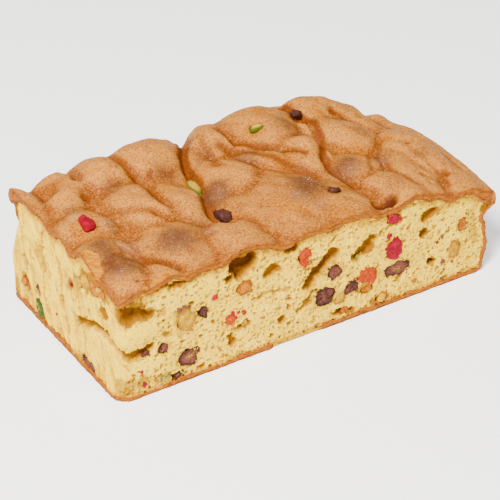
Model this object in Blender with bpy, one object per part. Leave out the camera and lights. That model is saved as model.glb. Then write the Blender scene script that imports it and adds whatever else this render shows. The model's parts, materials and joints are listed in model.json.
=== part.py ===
"""Fruit cake loaf: a block cut from a flat-baked slab, with raisins and candied fruit set in its crumb.

Two of its sides are knife cuts, at the front and the left, and show pale crumb, air holes and cut fruit.
The other two, at the back and the right, are baked sides under an overhanging lip of top crust, and the
top is a crust of soft overlapping folds. Sizes are in millimetres and become metres as meshes are made.
X runs from the cut end to the baked end, Y from the cut front to the baked back, and Z is up.
"""

import math
from typing import NamedTuple

import bmesh
import bpy
from mathutils import Matrix, Vector, noise
from mathutils.geometry import intersect_point_line

MM = 0.001

# The block, measured from the foot of the corner where the two cut faces meet.
LENGTH = 205.0
WIDTH = 106.0
CREASE_HEIGHT = 55.5  # how high the creases between the top's folds lie along the front
BACK_RISE = 7.5  # the top climbs by this much towards the back
END_SLOPE_START = 150.0  # where the top starts to fall towards the baked end
END_SLOPE_SKEW = 0.07  # the fall starts sooner towards the back, by this much of the way back
END_FALL = 13.0  # and how far it has fallen there
END_FALL_BEND = 1.3

# The top crust's folds.
FOLD_DROP = 6.0  # how far a fold has fallen at its own edge
CREASE_SOFTNESS = 0.9

# The baked sides, from their foot to the crust that overhangs them. A level is a share of the wall's height.
FOOT_INSET = 2.5
FOOT_LEVEL = 0.05
BELLY = 2.2
BELLY_LEVEL = 0.38
BELLY_SPREAD = 0.16
HOLLOW = 1.6
HOLLOW_LEVEL = 0.82
HOLLOW_SPREAD = 0.1
LIP = 6.0
LIP_LEVEL = 0.8
LIP_CURL = 0.14
LIP_RADIUS = 5.0
BACK_CORNER_RADIUS = 16.0

# The back leans in under its crust.
BACK_LEAN = 5.0
BACK_LEAN_LEVEL = 0.45
BACK_LEAN_SPREAD = 0.4

# The corner between the cuts is blunt, and broken away at its foot.
CUT_CORNER_RADIUS = 4.5
BROKEN_FOOT = 8.0
BROKEN_LEVEL = 0.14

# The cut faces are nearly flat.
CUT_WAVE = 0.7
CUT_WAVE_LENGTH = 24.0
FRONT_WAVE_SEED = 3.0
LEFT_WAVE_SEED = 60.0
LEFT_FOOT_BOW = 2.0

# How finely the block is divided.
LENGTH_STEPS = 43
WIDTH_STEPS = 22
WALL_LEVELS = (0.0, 0.04, 0.12, 0.28, 0.46, 0.64, 0.79, 0.87, 0.93, 1.0)

# Fruit and air holes.
GAP = 0.35  # clearance round each piece of fruit
SMALL_SIZE = 3.0  # half width under which a bead has fewer sides
SMALL_SIDES = 7
LARGE_SIDES = 9
LUMP = 0.12
BEAD_RINGS = ((1.0, None), (0.62, 0.78), (0.0, 1.0), (-0.66, 0.75), (-1.0, None))  # rise and reach, or a pole


class Fold(NamedTuple):
    """One soft fold of the top crust, an oval dome seen from above."""

    x: float
    y: float
    half_length: float
    half_width: float
    turn: float  # degrees, from X towards Y
    rise: float  # above the crease height


class Crease(NamedTuple):
    """A furrow between folds that runs deeper than they meet of themselves."""

    points: tuple
    depth: float
    half_width: float


class Piece(NamedTuple):
    """A piece of fruit, or an air hole, that opens on one face: across and up are its middle on that face."""

    name: str
    kind: str
    across: float
    up: float
    half_width: float
    half_height: float
    turn: float = 0.0


FOLDS = (
    # the cut end, from the front corner to the back
    Fold(10, 11, 14, 17, -20, 6.0),
    Fold(25, 4, 13, 15, 0, 6.0),
    Fold(9, 31, 16, 13, 10, 8.2),
    Fold(12, 55, 17, 13, 0, 5.6),
    Fold(20, 80, 20, 15, 70, 6.2),
    # the broad folds left of the middle
    Fold(44, 18, 19, 27, 0, 7.4),
    Fold(67, 9, 19, 20, 0, 8.2),
    Fold(43, 54, 15, 24, 12, 7.2),
    Fold(38, 88, 12, 14, 0, 8.6),
    Fold(62, 90, 19, 15, 0, 8.8),
    Fold(62, 48, 14, 22, 10, 6.2),
    # the middle, right of the deep crease
    Fold(104, 24, 30, 29, 15, 7.6),
    Fold(93, 56, 17, 18, 40, 6.6),
    Fold(101, 90, 10, 17, 0, 7.4),
    Fold(116, 61, 19, 7, -48, 6.2),
    Fold(128, 84, 18, 21, -30, 9.0),
    Fold(135, 58, 11, 15, 15, 8.4),
    Fold(124, 11, 17, 20, 0, 6.2),
    # the fall towards the baked end
    Fold(162, 11, 14, 21, 12, 7.2),
    Fold(156, 38, 13, 15, 40, 4.6),
    Fold(165, 66, 24, 13, -42, 7.6),
    Fold(158, 91, 18, 15, -10, 9.0),
    Fold(177, 22, 11, 32, -8, 7.6),
    Fold(192, 38, 14, 25, 0, 12.2),
    Fold(196, 12, 14, 20, 0, 8.6),
    Fold(207, 30, 12, 46, 0, 8.2),
    Fold(182, 84, 18, 18, -30, 5.0),
)

CREASES = (
    Crease(((18, 27), (21, 22), (26, 14), (30, 4)), 2.4, 3.6),
    Crease(((91, 106), (88, 92), (82, 84), (77, 74), (76, 60), (70, 42), (67, 32), (72, 22)), 3.4, 3.4),
    Crease(((91, 108), (89, 97)), 4.5, 4.0),
    Crease(((107, 92), (108, 81), (115, 72), (124, 64), (133, 52)), 2.0, 3.0),
    Crease(((101, 80), (111, 67), (121, 54), (130, 42)), 1.8, 3.4),
    Crease(((150, 98), (154, 86), (152, 70), (146, 59), (140, 48), (140, 36), (143, 24)), 2.6, 3.2),
    Crease(((49, 96), (51, 84), (54, 72), (52, 50)), 1.6, 3.6),
)

# Cut pieces on the front face: across is X and up is Z.
FRONT_FRUIT = (
    Piece("cherry_glossy", "cherry", 150.3, 31.0, 4.8, 5.8, 15),
    Piece("cherry_under_crust", "cherry", 148.2, 49.0, 3.6, 2.8),
    Piece("papaya_upper", "papaya", 98.6, 44.5, 3.3, 4.5),
    Piece("papaya_lower", "papaya", 135.4, 21.8, 5.0, 3.9, 20),
    Piece("papaya_crumbled", "papaya", 57.6, 25.0, 2.8, 2.3, 30),
    Piece("raisin_middle_large", "raisin", 110.0, 18.6, 6.2, 4.6, -15),
    Piece("raisin_middle_upper", "raisin", 115.4, 30.7, 4.6, 3.4, 25),
    Piece("raisin_middle_right", "raisin", 125.2, 18.0, 4.4, 2.9, 10),
    Piece("raisin_right", "raisin", 152.0, 19.8, 7.6, 4.2, 5),
    Piece("raisin_left_large", "raisin", 35.3, 12.8, 5.2, 4.6, 30),
    Piece("raisin_left_low", "raisin", 29.4, 4.4, 2.8, 2.3),
    Piece("raisin_left_small", "raisin", 22.4, 22.6, 3.2, 2.7, 20),
    Piece("raisin_left_end", "raisin", 12.5, 23.1, 2.6, 1.9, 10),
    Piece("plum_dark", "raisin", 43.2, 34.6, 2.2, 3.4, 15),
    Piece("peel_in_hollow", "lemon", 34.0, 33.6, 5.0, 6.6, 10),
    Piece("peel_under_heart", "orange", 65.2, 39.6, 4.2, 4.0, -20),
    Piece("peel_middle", "lemon", 118.6, 13.4, 3.0, 2.1, 15),
    Piece("peel_middle_low", "orange", 121.9, 6.2, 3.0, 1.8, 15),
    Piece("peel_right_low", "orange", 144.4, 6.0, 3.6, 2.3, 10),
    Piece("peel_right_small", "orange", 134.0, 14.0, 3.0, 1.8, 10),
    Piece("peel_yellow_end", "lemon", 186.2, 18.6, 3.9, 4.7, -25),
    Piece("peel_golden_end", "orange", 191.5, 31.2, 3.1, 3.5),
)

# Cut pieces on the left face: across is Y and up is Z.
LEFT_FRUIT = (
    Piece("angelica_side", "angelica", 78.3, 6.2, 4.6, 5.0, 20),
    Piece("raisin_side", "raisin", 79.0, 17.0, 3.2, 2.6, 30),
    Piece("raisin_side_low", "raisin", 29.5, 4.6, 7.0, 2.8),
    Piece("peel_side_yellow", "lemon", 38.9, 46.0, 4.0, 2.5, -20),
    Piece("peel_side_back", "orange", 93.0, 14.0, 3.8, 2.7, 10),
)

# Pieces that show through the top crust: across is X and up is Y.
TOP_FRUIT = (
    Piece("cherry_top", "cherry", 13.0, 53.0, 3.0, 6.0, 15),
    Piece("angelica_top", "angelica", 76.3, 63.0, 3.2, 6.0, -5),
    Piece("raisin_top_left", "raisin", 74.0, 33.5, 2.2, 6.2, 30),
    Piece("raisin_top_right", "raisin", 128.4, 21.5, 3.6, 2.8, 20),
    Piece("angelica_top_back", "angelica", 121.8, 79.3, 4.0, 2.6),
    Piece("raisin_top_back", "raisin", 148.5, 84.8, 3.2, 2.6),
)

FRONT_HOLES = (
    Piece("heart_hole_left", "hole", 60.8, 53.6, 4.4, 4.8, 25),
    Piece("heart_hole_right", "hole", 67.2, 52.4, 4.8, 6.0, -15),
    Piece("corner_hole", "hole", 9.0, 48.4, 6.8, 5.8),
    Piece("hole_under_crust", "hole", 18.5, 56.2, 4.2, 1.9, 10),
    Piece("hole_middle_left", "hole", 81.5, 44.0, 3.4, 4.2, 20),
    Piece("hole_middle_top", "hole", 90.4, 52.6, 3.8, 2.9, -20),
    Piece("crevice_upper", "hole", 112.5, 38.0, 2.3, 4.6, -45),
    Piece("crevice_middle", "hole", 106.0, 33.0, 2.0, 4.4, -40),
    Piece("crevice_lower", "hole", 101.0, 27.2, 1.9, 4.0, -35),
    Piece("hole_olive", "hole", 132.6, 36.8, 2.2, 5.0, -55),
    Piece("hole_right_top", "hole", 170.4, 45.2, 5.2, 3.8, 15),
    Piece("hole_right", "hole", 167.6, 34.8, 2.5, 2.3),
    Piece("hole_right_low", "hole", 172.9, 16.2, 2.4, 2.3),
    Piece("hole_teardrop", "hole", 58.6, 13.2, 1.7, 3.8),
    Piece("hole_left", "hole", 65.2, 20.2, 2.7, 2.1),
)

LEFT_HOLES = (
    Piece("side_hole_front", "hole", 14.6, 42.0, 3.4, 2.8),
    Piece("side_hole_back", "hole", 95.0, 25.5, 3.0, 3.0),
    Piece("side_hole_tall", "hole", 70.2, 34.0, 2.2, 4.6, 15),
    Piece("side_hole_middle", "hole", 55.0, 24.0, 2.3, 3.6, 10),
)

# How deep a piece goes in, and how far it stands proud of a cut, both as shares of its half size.
DEPTH = {"cherry": 0.9, "papaya": 0.9, "raisin": 0.8, "lemon": 0.8, "orange": 0.8, "angelica": 0.8, "hole": 0.9}
CROWN = {"cherry": 0.16, "papaya": 0.1, "raisin": 0.18, "lemon": 0.1, "orange": 0.1, "angelica": 0.12}
TOP_CROWN = 0.45

# Colour and roughness of each finish.
FINISHES = {
    "crumb": ((0.80, 0.66, 0.38), 0.85),
    "crust": ((0.58, 0.30, 0.13), 0.55),
    "cherry": ((0.60, 0.03, 0.06), 0.22),
    "papaya": ((0.80, 0.20, 0.13), 0.35),
    "raisin": ((0.13, 0.06, 0.04), 0.40),
    "lemon": ((0.80, 0.55, 0.10), 0.35),
    "orange": ((0.70, 0.33, 0.07), 0.35),
    "angelica": ((0.16, 0.28, 0.05), 0.35),
}


def clear_scene():
    for old in list(bpy.data.objects):
        bpy.data.objects.remove(old, do_unlink=True)


def finish(kind):
    """The material of one kind of stuff, made once."""
    found = bpy.data.materials.get(kind)
    if found:
        return found
    colour, roughness = FINISHES[kind]
    made = bpy.data.materials.new(kind)
    made.use_nodes = True
    shader = made.node_tree.nodes["Principled BSDF"]
    shader.inputs["Base Color"].default_value = (*colour, 1.0)
    shader.inputs["Roughness"].default_value = roughness
    return made


def blend(low, high, share):
    return low + (high - low) * share


def ease(share):
    """0 to 1 with a soft start and end."""
    share = min(max(share, 0.0), 1.0)
    return share * share * (3.0 - 2.0 * share)


# --- the block ---------------------------------------------------------------------------------------


def fold_height(fold, x, y):
    turn = math.radians(fold.turn)
    along = (x - fold.x) * math.cos(turn) + (y - fold.y) * math.sin(turn)
    across = (y - fold.y) * math.cos(turn) - (x - fold.x) * math.sin(turn)
    spread = (along / fold.half_length) ** 2 + (across / fold.half_width) ** 2
    return fold.rise - FOLD_DROP * spread


def folds_height(x, y):
    """The folds meet in creases: a soft maximum of their domes, never far below the crease height."""
    heights = [0.0] + [fold_height(fold, x, y) for fold in FOLDS]
    highest = max(heights)
    shares = sum(math.exp((height - highest) / CREASE_SOFTNESS) for height in heights)
    return highest + CREASE_SOFTNESS * math.log(shares)


def distance_to_line(x, y, points):
    here = Vector((x, y, 0.0))
    nearest = math.inf
    for start, end in zip(points, points[1:]):
        foot, share = intersect_point_line(here, Vector((*start, 0.0)), Vector((*end, 0.0)))
        foot = Vector((*(start if share < 0.0 else end), 0.0)) if not 0.0 <= share <= 1.0 else foot
        nearest = min(nearest, (here - foot).length)
    return nearest


def crease_depth(x, y):
    cuts = (c.depth * math.exp(-((distance_to_line(x, y, c.points) / c.half_width) ** 2)) for c in CREASES)
    return max(cuts)


def rolled_edge(distance, radius):
    """How far a surface has dropped, this near to an edge that it rolls over."""
    inward = min(max(distance, 0.0), radius)
    return radius - math.sqrt(radius**2 - (radius - inward) ** 2)


def baked_edge_distance(x, y):
    """How far inside the baked outline a point lies, round its corner too."""
    from_end = LENGTH + baked_profile(1.0) - x
    from_back = WIDTH + back_profile(1.0) - y
    if max(from_end, from_back) >= BACK_CORNER_RADIUS:
        return min(from_end, from_back)
    return BACK_CORNER_RADIUS - math.hypot(BACK_CORNER_RADIUS - from_end, BACK_CORNER_RADIUS - from_back)


def top_height(x, y):
    climb = BACK_RISE * ease(y / WIDTH)
    past = max(x + END_SLOPE_SKEW * y - END_SLOPE_START, 0.0) / (LENGTH - END_SLOPE_START)
    arch = CREASE_HEIGHT + climb - END_FALL * past**END_FALL_BEND
    rolled = rolled_edge(baked_edge_distance(x, y), LIP_RADIUS)
    return arch + folds_height(x, y) - crease_depth(x, y) - rolled


def baked_profile(level):
    """How far a baked side stands out of its plan line: foot, belly, hollow, and the crust's lip."""
    foot = -FOOT_INSET * (1.0 - ease(level / FOOT_LEVEL))
    belly = BELLY * math.exp(-(((level - BELLY_LEVEL) / BELLY_SPREAD) ** 2))
    hollow = -HOLLOW * math.exp(-(((level - HOLLOW_LEVEL) / HOLLOW_SPREAD) ** 2))
    lip = LIP * ease((level - LIP_LEVEL) / LIP_CURL)
    return foot + belly + hollow + lip


def back_profile(level):
    """The back's crust only reaches the plan line, over a deeper hollow."""
    return baked_profile(level) - BACK_LEAN * ease((level - BACK_LEAN_LEVEL) / BACK_LEAN_SPREAD)


def round_corner(x, y, corner_x, corner_y, radius):
    """Turns the last square of the plan at a corner into a quarter disc."""
    inward_x = math.copysign(1.0, LENGTH / 2 - corner_x)
    inward_y = math.copysign(1.0, WIDTH / 2 - corner_y)
    a = 1.0 - (x - corner_x) * inward_x / radius
    b = 1.0 - (y - corner_y) * inward_y / radius
    if a <= 0.0 or b <= 0.0:
        return x, y
    squeeze = max(a, b) / math.hypot(a, b)
    return (
        corner_x + inward_x * radius * (1.0 - a * squeeze),
        corner_y + inward_y * radius * (1.0 - b * squeeze),
    )


def plan_point(u, v, level):
    """A point of the plan at one level of the wall, from 0 at the foot to 1 at the top crust."""
    left = -LEFT_FOOT_BOW * (1.0 - level) ** 2
    right = LENGTH + baked_profile(level)
    back = WIDTH + back_profile(level)
    x, y = blend(left, right, u), blend(0.0, back, v)
    broken = BROKEN_FOOT * (1.0 - ease(level / BROKEN_LEVEL))
    x, y = round_corner(x, y, left, 0.0, CUT_CORNER_RADIUS + broken)
    return round_corner(x, y, right, back, BACK_CORNER_RADIUS)


def cut_wave(across, up, seed):
    """A knife cut's gentle unevenness."""
    return CUT_WAVE * noise.noise(Vector((across, up, seed)) / CUT_WAVE_LENGTH)


def block_point(u, v, level):
    """A point of the block's skin, in millimetres. Where level is 1 it lies on the top."""
    rim_x, rim_y = plan_point(u, v, 1.0)
    x, y = plan_point(u, v, level)
    z = level * top_height(rim_x, rim_y)
    if v == 0.0:
        y += cut_wave(x, z, FRONT_WAVE_SEED)
    if u == 0.0:
        x += cut_wave(y, z, LEFT_WAVE_SEED)
    return Vector((x, y, z))


def edge_ring():
    """The plan's outline as (u, v), once round, with the side that each stretch belongs to."""
    us = [i / LENGTH_STEPS for i in range(LENGTH_STEPS)]
    vs = [j / WIDTH_STEPS for j in range(WIDTH_STEPS)]
    ring = [(u, 0.0, "cut") for u in us]
    ring += [(1.0, v, "baked") for v in vs]
    ring += [(1.0 - u, 1.0, "baked") for u in us]
    ring += [(0.0, 1.0 - v, "cut") for v in vs]
    return ring


def block_mesh():
    """Top grid, walls and flat base as one closed mesh. Cut walls are crumb and the rest is crust."""
    shape = bmesh.new()
    top = {}
    for i in range(LENGTH_STEPS + 1):
        for j in range(WIDTH_STEPS + 1):
            point = block_point(i / LENGTH_STEPS, j / WIDTH_STEPS, 1.0)
            top[i, j] = shape.verts.new(point * MM)

    for i in range(LENGTH_STEPS):
        for j in range(WIDTH_STEPS):
            corners = (top[i, j], top[i + 1, j], top[i + 1, j + 1], top[i, j + 1])
            shape.faces.new(corners).material_index = 1

    ring = edge_ring()
    above = [top[round(u * LENGTH_STEPS), round(v * WIDTH_STEPS)] for u, v, _ in ring]
    for level in reversed(WALL_LEVELS[:-1]):
        below = [shape.verts.new(block_point(u, v, level) * MM) for u, v, _ in ring]
        for n, (_, _, side) in enumerate(ring):
            after = (n + 1) % len(ring)
            face = shape.faces.new((above[n], below[n], below[after], above[after]))
            face.material_index = 0 if side == "cut" and level > 0.0 else 1
        above = below
    shape.faces.new(list(reversed(above))).material_index = 1

    mesh = bpy.data.meshes.new("cake")
    bmesh.ops.triangulate(shape, faces=shape.faces)
    bmesh.ops.recalc_face_normals(shape, faces=shape.faces)
    shape.to_mesh(mesh)
    shape.free()
    return mesh


# --- fruit and air holes -----------------------------------------------------------------------------


def bead_mesh(piece, crown, grow=0.0):
    """A lumpy bead, half sunk: its widest ring lies on local Z = 0, and its crown stands out along +Z."""
    sides = SMALL_SIDES if piece.half_width < SMALL_SIZE else LARGE_SIDES
    seed = sum(ord(letter) for letter in piece.name)
    depth = DEPTH[piece.kind] * min(piece.half_width, piece.half_height)
    shape = bmesh.new()

    def bead_vert(angle, rise, reach):
        way = Vector((math.cos(angle) * reach, math.sin(angle) * reach, rise))
        bumps = 1.0 + LUMP * noise.noise(way * 1.7 + Vector((seed * 0.37, 0.0, 0.0)))
        high = piece.half_height * crown if rise > 0.0 else depth
        size = Vector((piece.half_width, piece.half_height, high))
        point = Vector((way.x * size.x, way.y * size.y, way.z * size.z)) * bumps
        return shape.verts.new((point + point.normalized() * grow) * MM)

    poles, loops = [], []
    for rise, reach in BEAD_RINGS:
        if reach is None:
            poles.append(bead_vert(0.0, rise, 0.0))
        else:
            turns = [2.0 * math.pi * k / sides for k in range(sides)]
            loops.append([bead_vert(angle, rise, reach) for angle in turns])

    for upper, lower in zip(loops, loops[1:]):
        for k in range(sides):
            after = (k + 1) % sides
            shape.faces.new((upper[k], lower[k], lower[after], upper[after]))
    for k in range(sides):
        after = (k + 1) % sides
        shape.faces.new((poles[0], loops[0][k], loops[0][after]))
        shape.faces.new((poles[1], loops[-1][after], loops[-1][k]))

    bmesh.ops.triangulate(shape, faces=shape.faces)
    bmesh.ops.recalc_face_normals(shape, faces=shape.faces)
    mesh = bpy.data.meshes.new(piece.name)
    shape.to_mesh(mesh)
    shape.free()
    return mesh


def on_front(piece):
    """Where a piece of the front face sits: local X along the cake, local Y up, local Z out of the cut."""
    y = cut_wave(piece.across, piece.up, FRONT_WAVE_SEED)
    turn = Matrix.Rotation(math.pi / 2, 4, "X")
    return Matrix.Translation(Vector((piece.across, y, piece.up)) * MM) @ turn


def on_left(piece):
    bow = -LEFT_FOOT_BOW * (1.0 - piece.up / CREASE_HEIGHT) ** 2
    x = bow + cut_wave(piece.across, piece.up, LEFT_WAVE_SEED)
    turn = Matrix.Rotation(-math.pi / 2, 4, "Z") @ Matrix.Rotation(math.pi / 2, 4, "X")
    return Matrix.Translation(Vector((x, piece.across, piece.up)) * MM) @ turn


def on_top(piece):
    """Where a piece of the top sits, tilted with the crust."""
    step = 2.0
    here = top_height(piece.across, piece.up)
    slope_x = (top_height(piece.across + step, piece.up) - here) / step
    slope_y = (top_height(piece.across, piece.up + step) - here) / step
    tilt = Vector((0.0, 0.0, 1.0)).rotation_difference(Vector((-slope_x, -slope_y, 1.0)))
    return Matrix.Translation(Vector((piece.across, piece.up, here)) * MM) @ tilt.to_matrix().to_4x4()


def place(thing, seat, piece, parent):
    """Sets a finished object into its face and hangs it on the loaf."""
    thing.matrix_world = seat(piece) @ Matrix.Rotation(math.radians(piece.turn), 4, "Z")
    thing.parent = parent


def add_fruit(piece, seat, crown, parent):
    mesh = bead_mesh(piece, crown)
    mesh.shade_smooth()
    mesh.materials.append(finish(piece.kind))
    fruit = bpy.data.objects.new(piece.name, mesh)
    bpy.context.collection.objects.link(fruit)
    place(fruit, seat, piece, parent)


def add_cutter(piece, seat, grow, cutters, parent):
    """A guide that the block's Boolean takes away."""
    cutter = bpy.data.objects.new("cut_" + piece.name, bead_mesh(piece, 1.0, grow))
    cutter.hide_render = True
    cutter.display_type = "WIRE"
    cutters.objects.link(cutter)
    place(cutter, seat, piece, parent)


def add_block(cutters, parent):
    mesh = block_mesh()
    mesh.materials.append(finish("crumb"))
    mesh.materials.append(finish("crust"))
    block = bpy.data.objects.new("cake", mesh)
    bpy.context.collection.objects.link(block)
    block.parent = parent
    cut = block.modifiers.new("fruit and air holes", "BOOLEAN")
    cut.operation = "DIFFERENCE"
    cut.solver = "EXACT"
    cut.operand_type = "COLLECTION"
    cut.collection = cutters


def stand_on_origin(loaf):
    """Moves the loaf so that the middle of its base is the origin."""
    bpy.context.view_layer.update()
    depsgraph = bpy.context.evaluated_depsgraph_get()
    points = []
    for thing in loaf.children:
        if not thing.hide_render:
            solid = thing.evaluated_get(depsgraph)
            points += [solid.matrix_world @ vert.co for vert in solid.data.vertices]
    low = Vector(map(min, zip(*points)))
    high = Vector(map(max, zip(*points)))
    loaf.location = (-(low.x + high.x) / 2, -(low.y + high.y) / 2, -low.z)


def main():
    clear_scene()
    loaf = bpy.data.objects.new("loaf", None)
    bpy.context.collection.objects.link(loaf)
    cutters = bpy.data.collections.new("cutters")
    bpy.context.scene.collection.children.link(cutters)

    faces = ((FRONT_FRUIT, on_front, None), (LEFT_FRUIT, on_left, None), (TOP_FRUIT, on_top, TOP_CROWN))
    for pieces, seat, crown in faces:
        for piece in pieces:
            add_fruit(piece, seat, crown or CROWN[piece.kind], loaf)
            add_cutter(piece, seat, GAP, cutters, loaf)
    for holes, seat in ((FRONT_HOLES, on_front), (LEFT_HOLES, on_left)):
        for hole in holes:
            add_cutter(hole, seat, 0.0, cutters, loaf)

    add_block(cutters, loaf)
    stand_on_origin(loaf)


main()
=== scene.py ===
"""Fruit cake loaf: crumb, crust, fruit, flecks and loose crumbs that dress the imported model.

The block was cut from a flat-baked slab. Its front (-Y) and left (-X) sides are knife cuts that show airy
crumb and cut fruit. Its back and right sides are baked, under a lip of the folded top crust.
"""

import json
import math
from functools import cache

import bpy
import numpy as np
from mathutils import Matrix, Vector


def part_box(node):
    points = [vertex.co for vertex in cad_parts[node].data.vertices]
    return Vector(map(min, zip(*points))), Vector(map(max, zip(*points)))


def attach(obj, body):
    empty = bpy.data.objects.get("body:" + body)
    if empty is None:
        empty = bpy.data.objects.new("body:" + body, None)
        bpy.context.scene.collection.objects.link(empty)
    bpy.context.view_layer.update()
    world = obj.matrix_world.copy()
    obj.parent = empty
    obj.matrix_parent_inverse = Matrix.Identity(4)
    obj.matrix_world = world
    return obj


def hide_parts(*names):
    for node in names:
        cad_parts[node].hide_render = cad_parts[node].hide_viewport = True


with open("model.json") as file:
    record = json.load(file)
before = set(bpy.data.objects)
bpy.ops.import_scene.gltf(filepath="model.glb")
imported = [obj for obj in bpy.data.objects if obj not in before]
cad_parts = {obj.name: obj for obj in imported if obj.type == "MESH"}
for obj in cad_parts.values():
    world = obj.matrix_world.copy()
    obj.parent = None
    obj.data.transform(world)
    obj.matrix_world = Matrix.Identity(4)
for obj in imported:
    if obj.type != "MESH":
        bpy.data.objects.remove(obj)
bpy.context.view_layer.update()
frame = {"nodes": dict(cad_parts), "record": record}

bl_info = {
    "name": "Fruit cake loaf",
    "version": (1, 0, 0),
    "blender": (4, 5, 0),
    "location": "3D View > Sidebar > Fruit Cake",
    "description": "Makes the crumb, crust, fruit and crumbs of a block of fruit cake",
    "category": "Add Mesh",
}

MM = 0.001

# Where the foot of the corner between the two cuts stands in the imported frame, in millimetres.
CUT_CORNER = np.array((-104.26, -53.27, 0.0))

# The block, in millimetres from that corner: X along the cake, Y to its back, Z up.
LENGTH = 205.0
WIDTH = 106.0
CREASE_HEIGHT = 55.5
BACK_RISE = 7.5
END_SLOPE_START = 150.0
END_SLOPE_SKEW = 0.07
END_FALL = 13.0
END_FALL_BEND = 1.3
FOLD_DROP = 6.0
CREASE_SOFTNESS = 0.6

# The baked sides, from foot to lip. A level is a share of the wall's height.
FOOT_INSET = 2.5
BELLY = 2.2
HOLLOW = 1.6
LIP = 6.0
LIP_RADIUS = 5.0
LIP_LEVEL = 0.92
BACK_LEAN = 5.0
BACK_CORNER_RADIUS = 16.0

# The corner between the cuts is blunt in the crumb, and a pointed flap in the crust.
CUT_CORNER_RADIUS = 5.0
BROKEN_FOOT = 3.0
FLAP_RADIUS = 2.4
LEFT_FOOT_BOW = 2.0
FOOT_HEIGHT = 0.6
LID_PROUD = 0.9

# The block's height at its middle, and the spacing of points on the baked walls and on the base's band.
MEAN_HEIGHT = 56.0
WALL_SPACING = 0.85
BAND_SPACING = 0.6

# A fruit opens on a cut when its box comes this near to the block's on that side.
FRONT_REACH, LEFT_REACH = 2.5, 3.5

# Along the cuts the way inward turns from the left side's to the front's over this far each way.
CORNER_REACH = 14.0

# The crumb's skin stops this far under the top of the crust. Its last rings then turn in under the lid, each
# this far inward and down from the skin's end. The walls that stay hidden are this high and this far in, and
# run through these shares of the plan's length and width.
CRUMB_GAP = 1.4
SILL_INWARD, SILL_DOWN = 1.3, 2.8
SHELF_INWARD, SHELF_DOWN = 13.0, 6.0
DIP_INWARD, HIDDEN_HEIGHT = 15.0, 33.0
HIDDEN_INSET = 4.5
HIDDEN_PLACES = ((1, 0.15), (1, 0.5), (1, 0.85), (0.97, 0.97), (0.7, 1), (0.4, 1), (0.1, 1))

# Above these levels the crumb no longer follows the wall out under the lip: at the cuts, and out of sight.
CUT_LEVEL_CAP, HIDDEN_LEVEL_CAP = 0.87, 0.7

# Air holes and tears go this share of their depth in, and the crumb dips this much round a cut fruit.
HOLLOW_SHARE = 0.8
FRUIT_SEAT = 2.4

# The lid's torn band has this many rows, and these rings close it underneath: how far in, how far down.
BAND_ROWS = 7
UNDER_LID = ((1.1, -0.35), (11.0, 2.5), (14.0, 12.0))

# The baked walls thin out from the cut edge to the rest, and stop under the lip.
WALL_THICKNESS = 0.8
CUT_EDGE_THICKENING = 1.1
WALL_TOP_LEVEL = 0.95

# The base's band along the cuts, in rows, and the stretch of the front where it broke off to a remnant.
BASE_ROWS = 8
BAND_HEIGHT = 2.8
REMNANT_HEIGHT = 0.75
BROKEN_FROM, BROKEN_TO = 82.0, 113.0

# Fruit fills a little more than its box's outline, as its outline is uneven; pieces over the size limit get
# more points. Fruit on top stands higher out of the crust, and is sunk by a share of its half height.
FRUIT_FULLNESS = 1.07
LARGE_FRUIT = 4.0
LARGE_STEPS, SMALL_STEPS = (64, 34), (44, 24)
TOP_CROWN, TOP_SINK = 0.8, 0.3
CUT_SINK = 0.15

# Flecks lie on the crumb or on a hole's floor, pressed out of it by a share of their size.
FLECK_FLOOR_SHARE, FLECK_SINK = 0.85, 0.1
FLECK_STAND, FLECK_STAND_LIMIT = 0.25, 1.6

# The top's folds: x, y, half length, half width, turn in degrees, rise above the creases.
FOLDS = (
    (10, 11, 14, 17, -20, 6), (25, 4, 13, 15, 0, 6), (9, 31, 16, 13, 10, 8.2), (12, 55, 17, 13, 0, 5.6),
    (20, 81.1, 20.5, 11.5, 67, 6.4), (44, 18, 19, 27, 0, 7.4), (67, 9, 19, 20, 0, 8.2),
    (43, 54, 15, 24, 12, 7.2), (39.3, 87.9, 12.3, 14.3, -8, 9.2), (64, 90.3, 19, 13.6, 13, 8.5),
    (62, 48, 14, 22, 10, 6.2), (104, 24, 30, 29, 15, 7.6), (93, 56, 17, 18, 40, 6.6),
    (102.7, 89.4, 11.6, 15.4, -13, 6.7), (116, 61, 19, 7, -48, 6.2), (127.4, 83.8, 19.2, 21.2, -19, 8.9),
    (135, 58, 11, 15, 15, 8.4), (124, 11, 17, 20, 0, 6.2), (162, 11, 14, 21, 12, 7.2),
    (156, 38, 13, 15, 40, 4.6), (165, 66, 24, 13, -42, 7.6), (166, 89.8, 18.5, 13.3, 0, 9.1),
    (177, 22, 11, 32, -8, 7.6), (192, 38, 14, 25, 0, 12.2), (196, 12, 14, 20, 0, 8.6),
    (207, 30, 12, 46, 0, 8.2), (182.5, 82.3, 21.4, 19.3, -27, 5.8),
)

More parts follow.
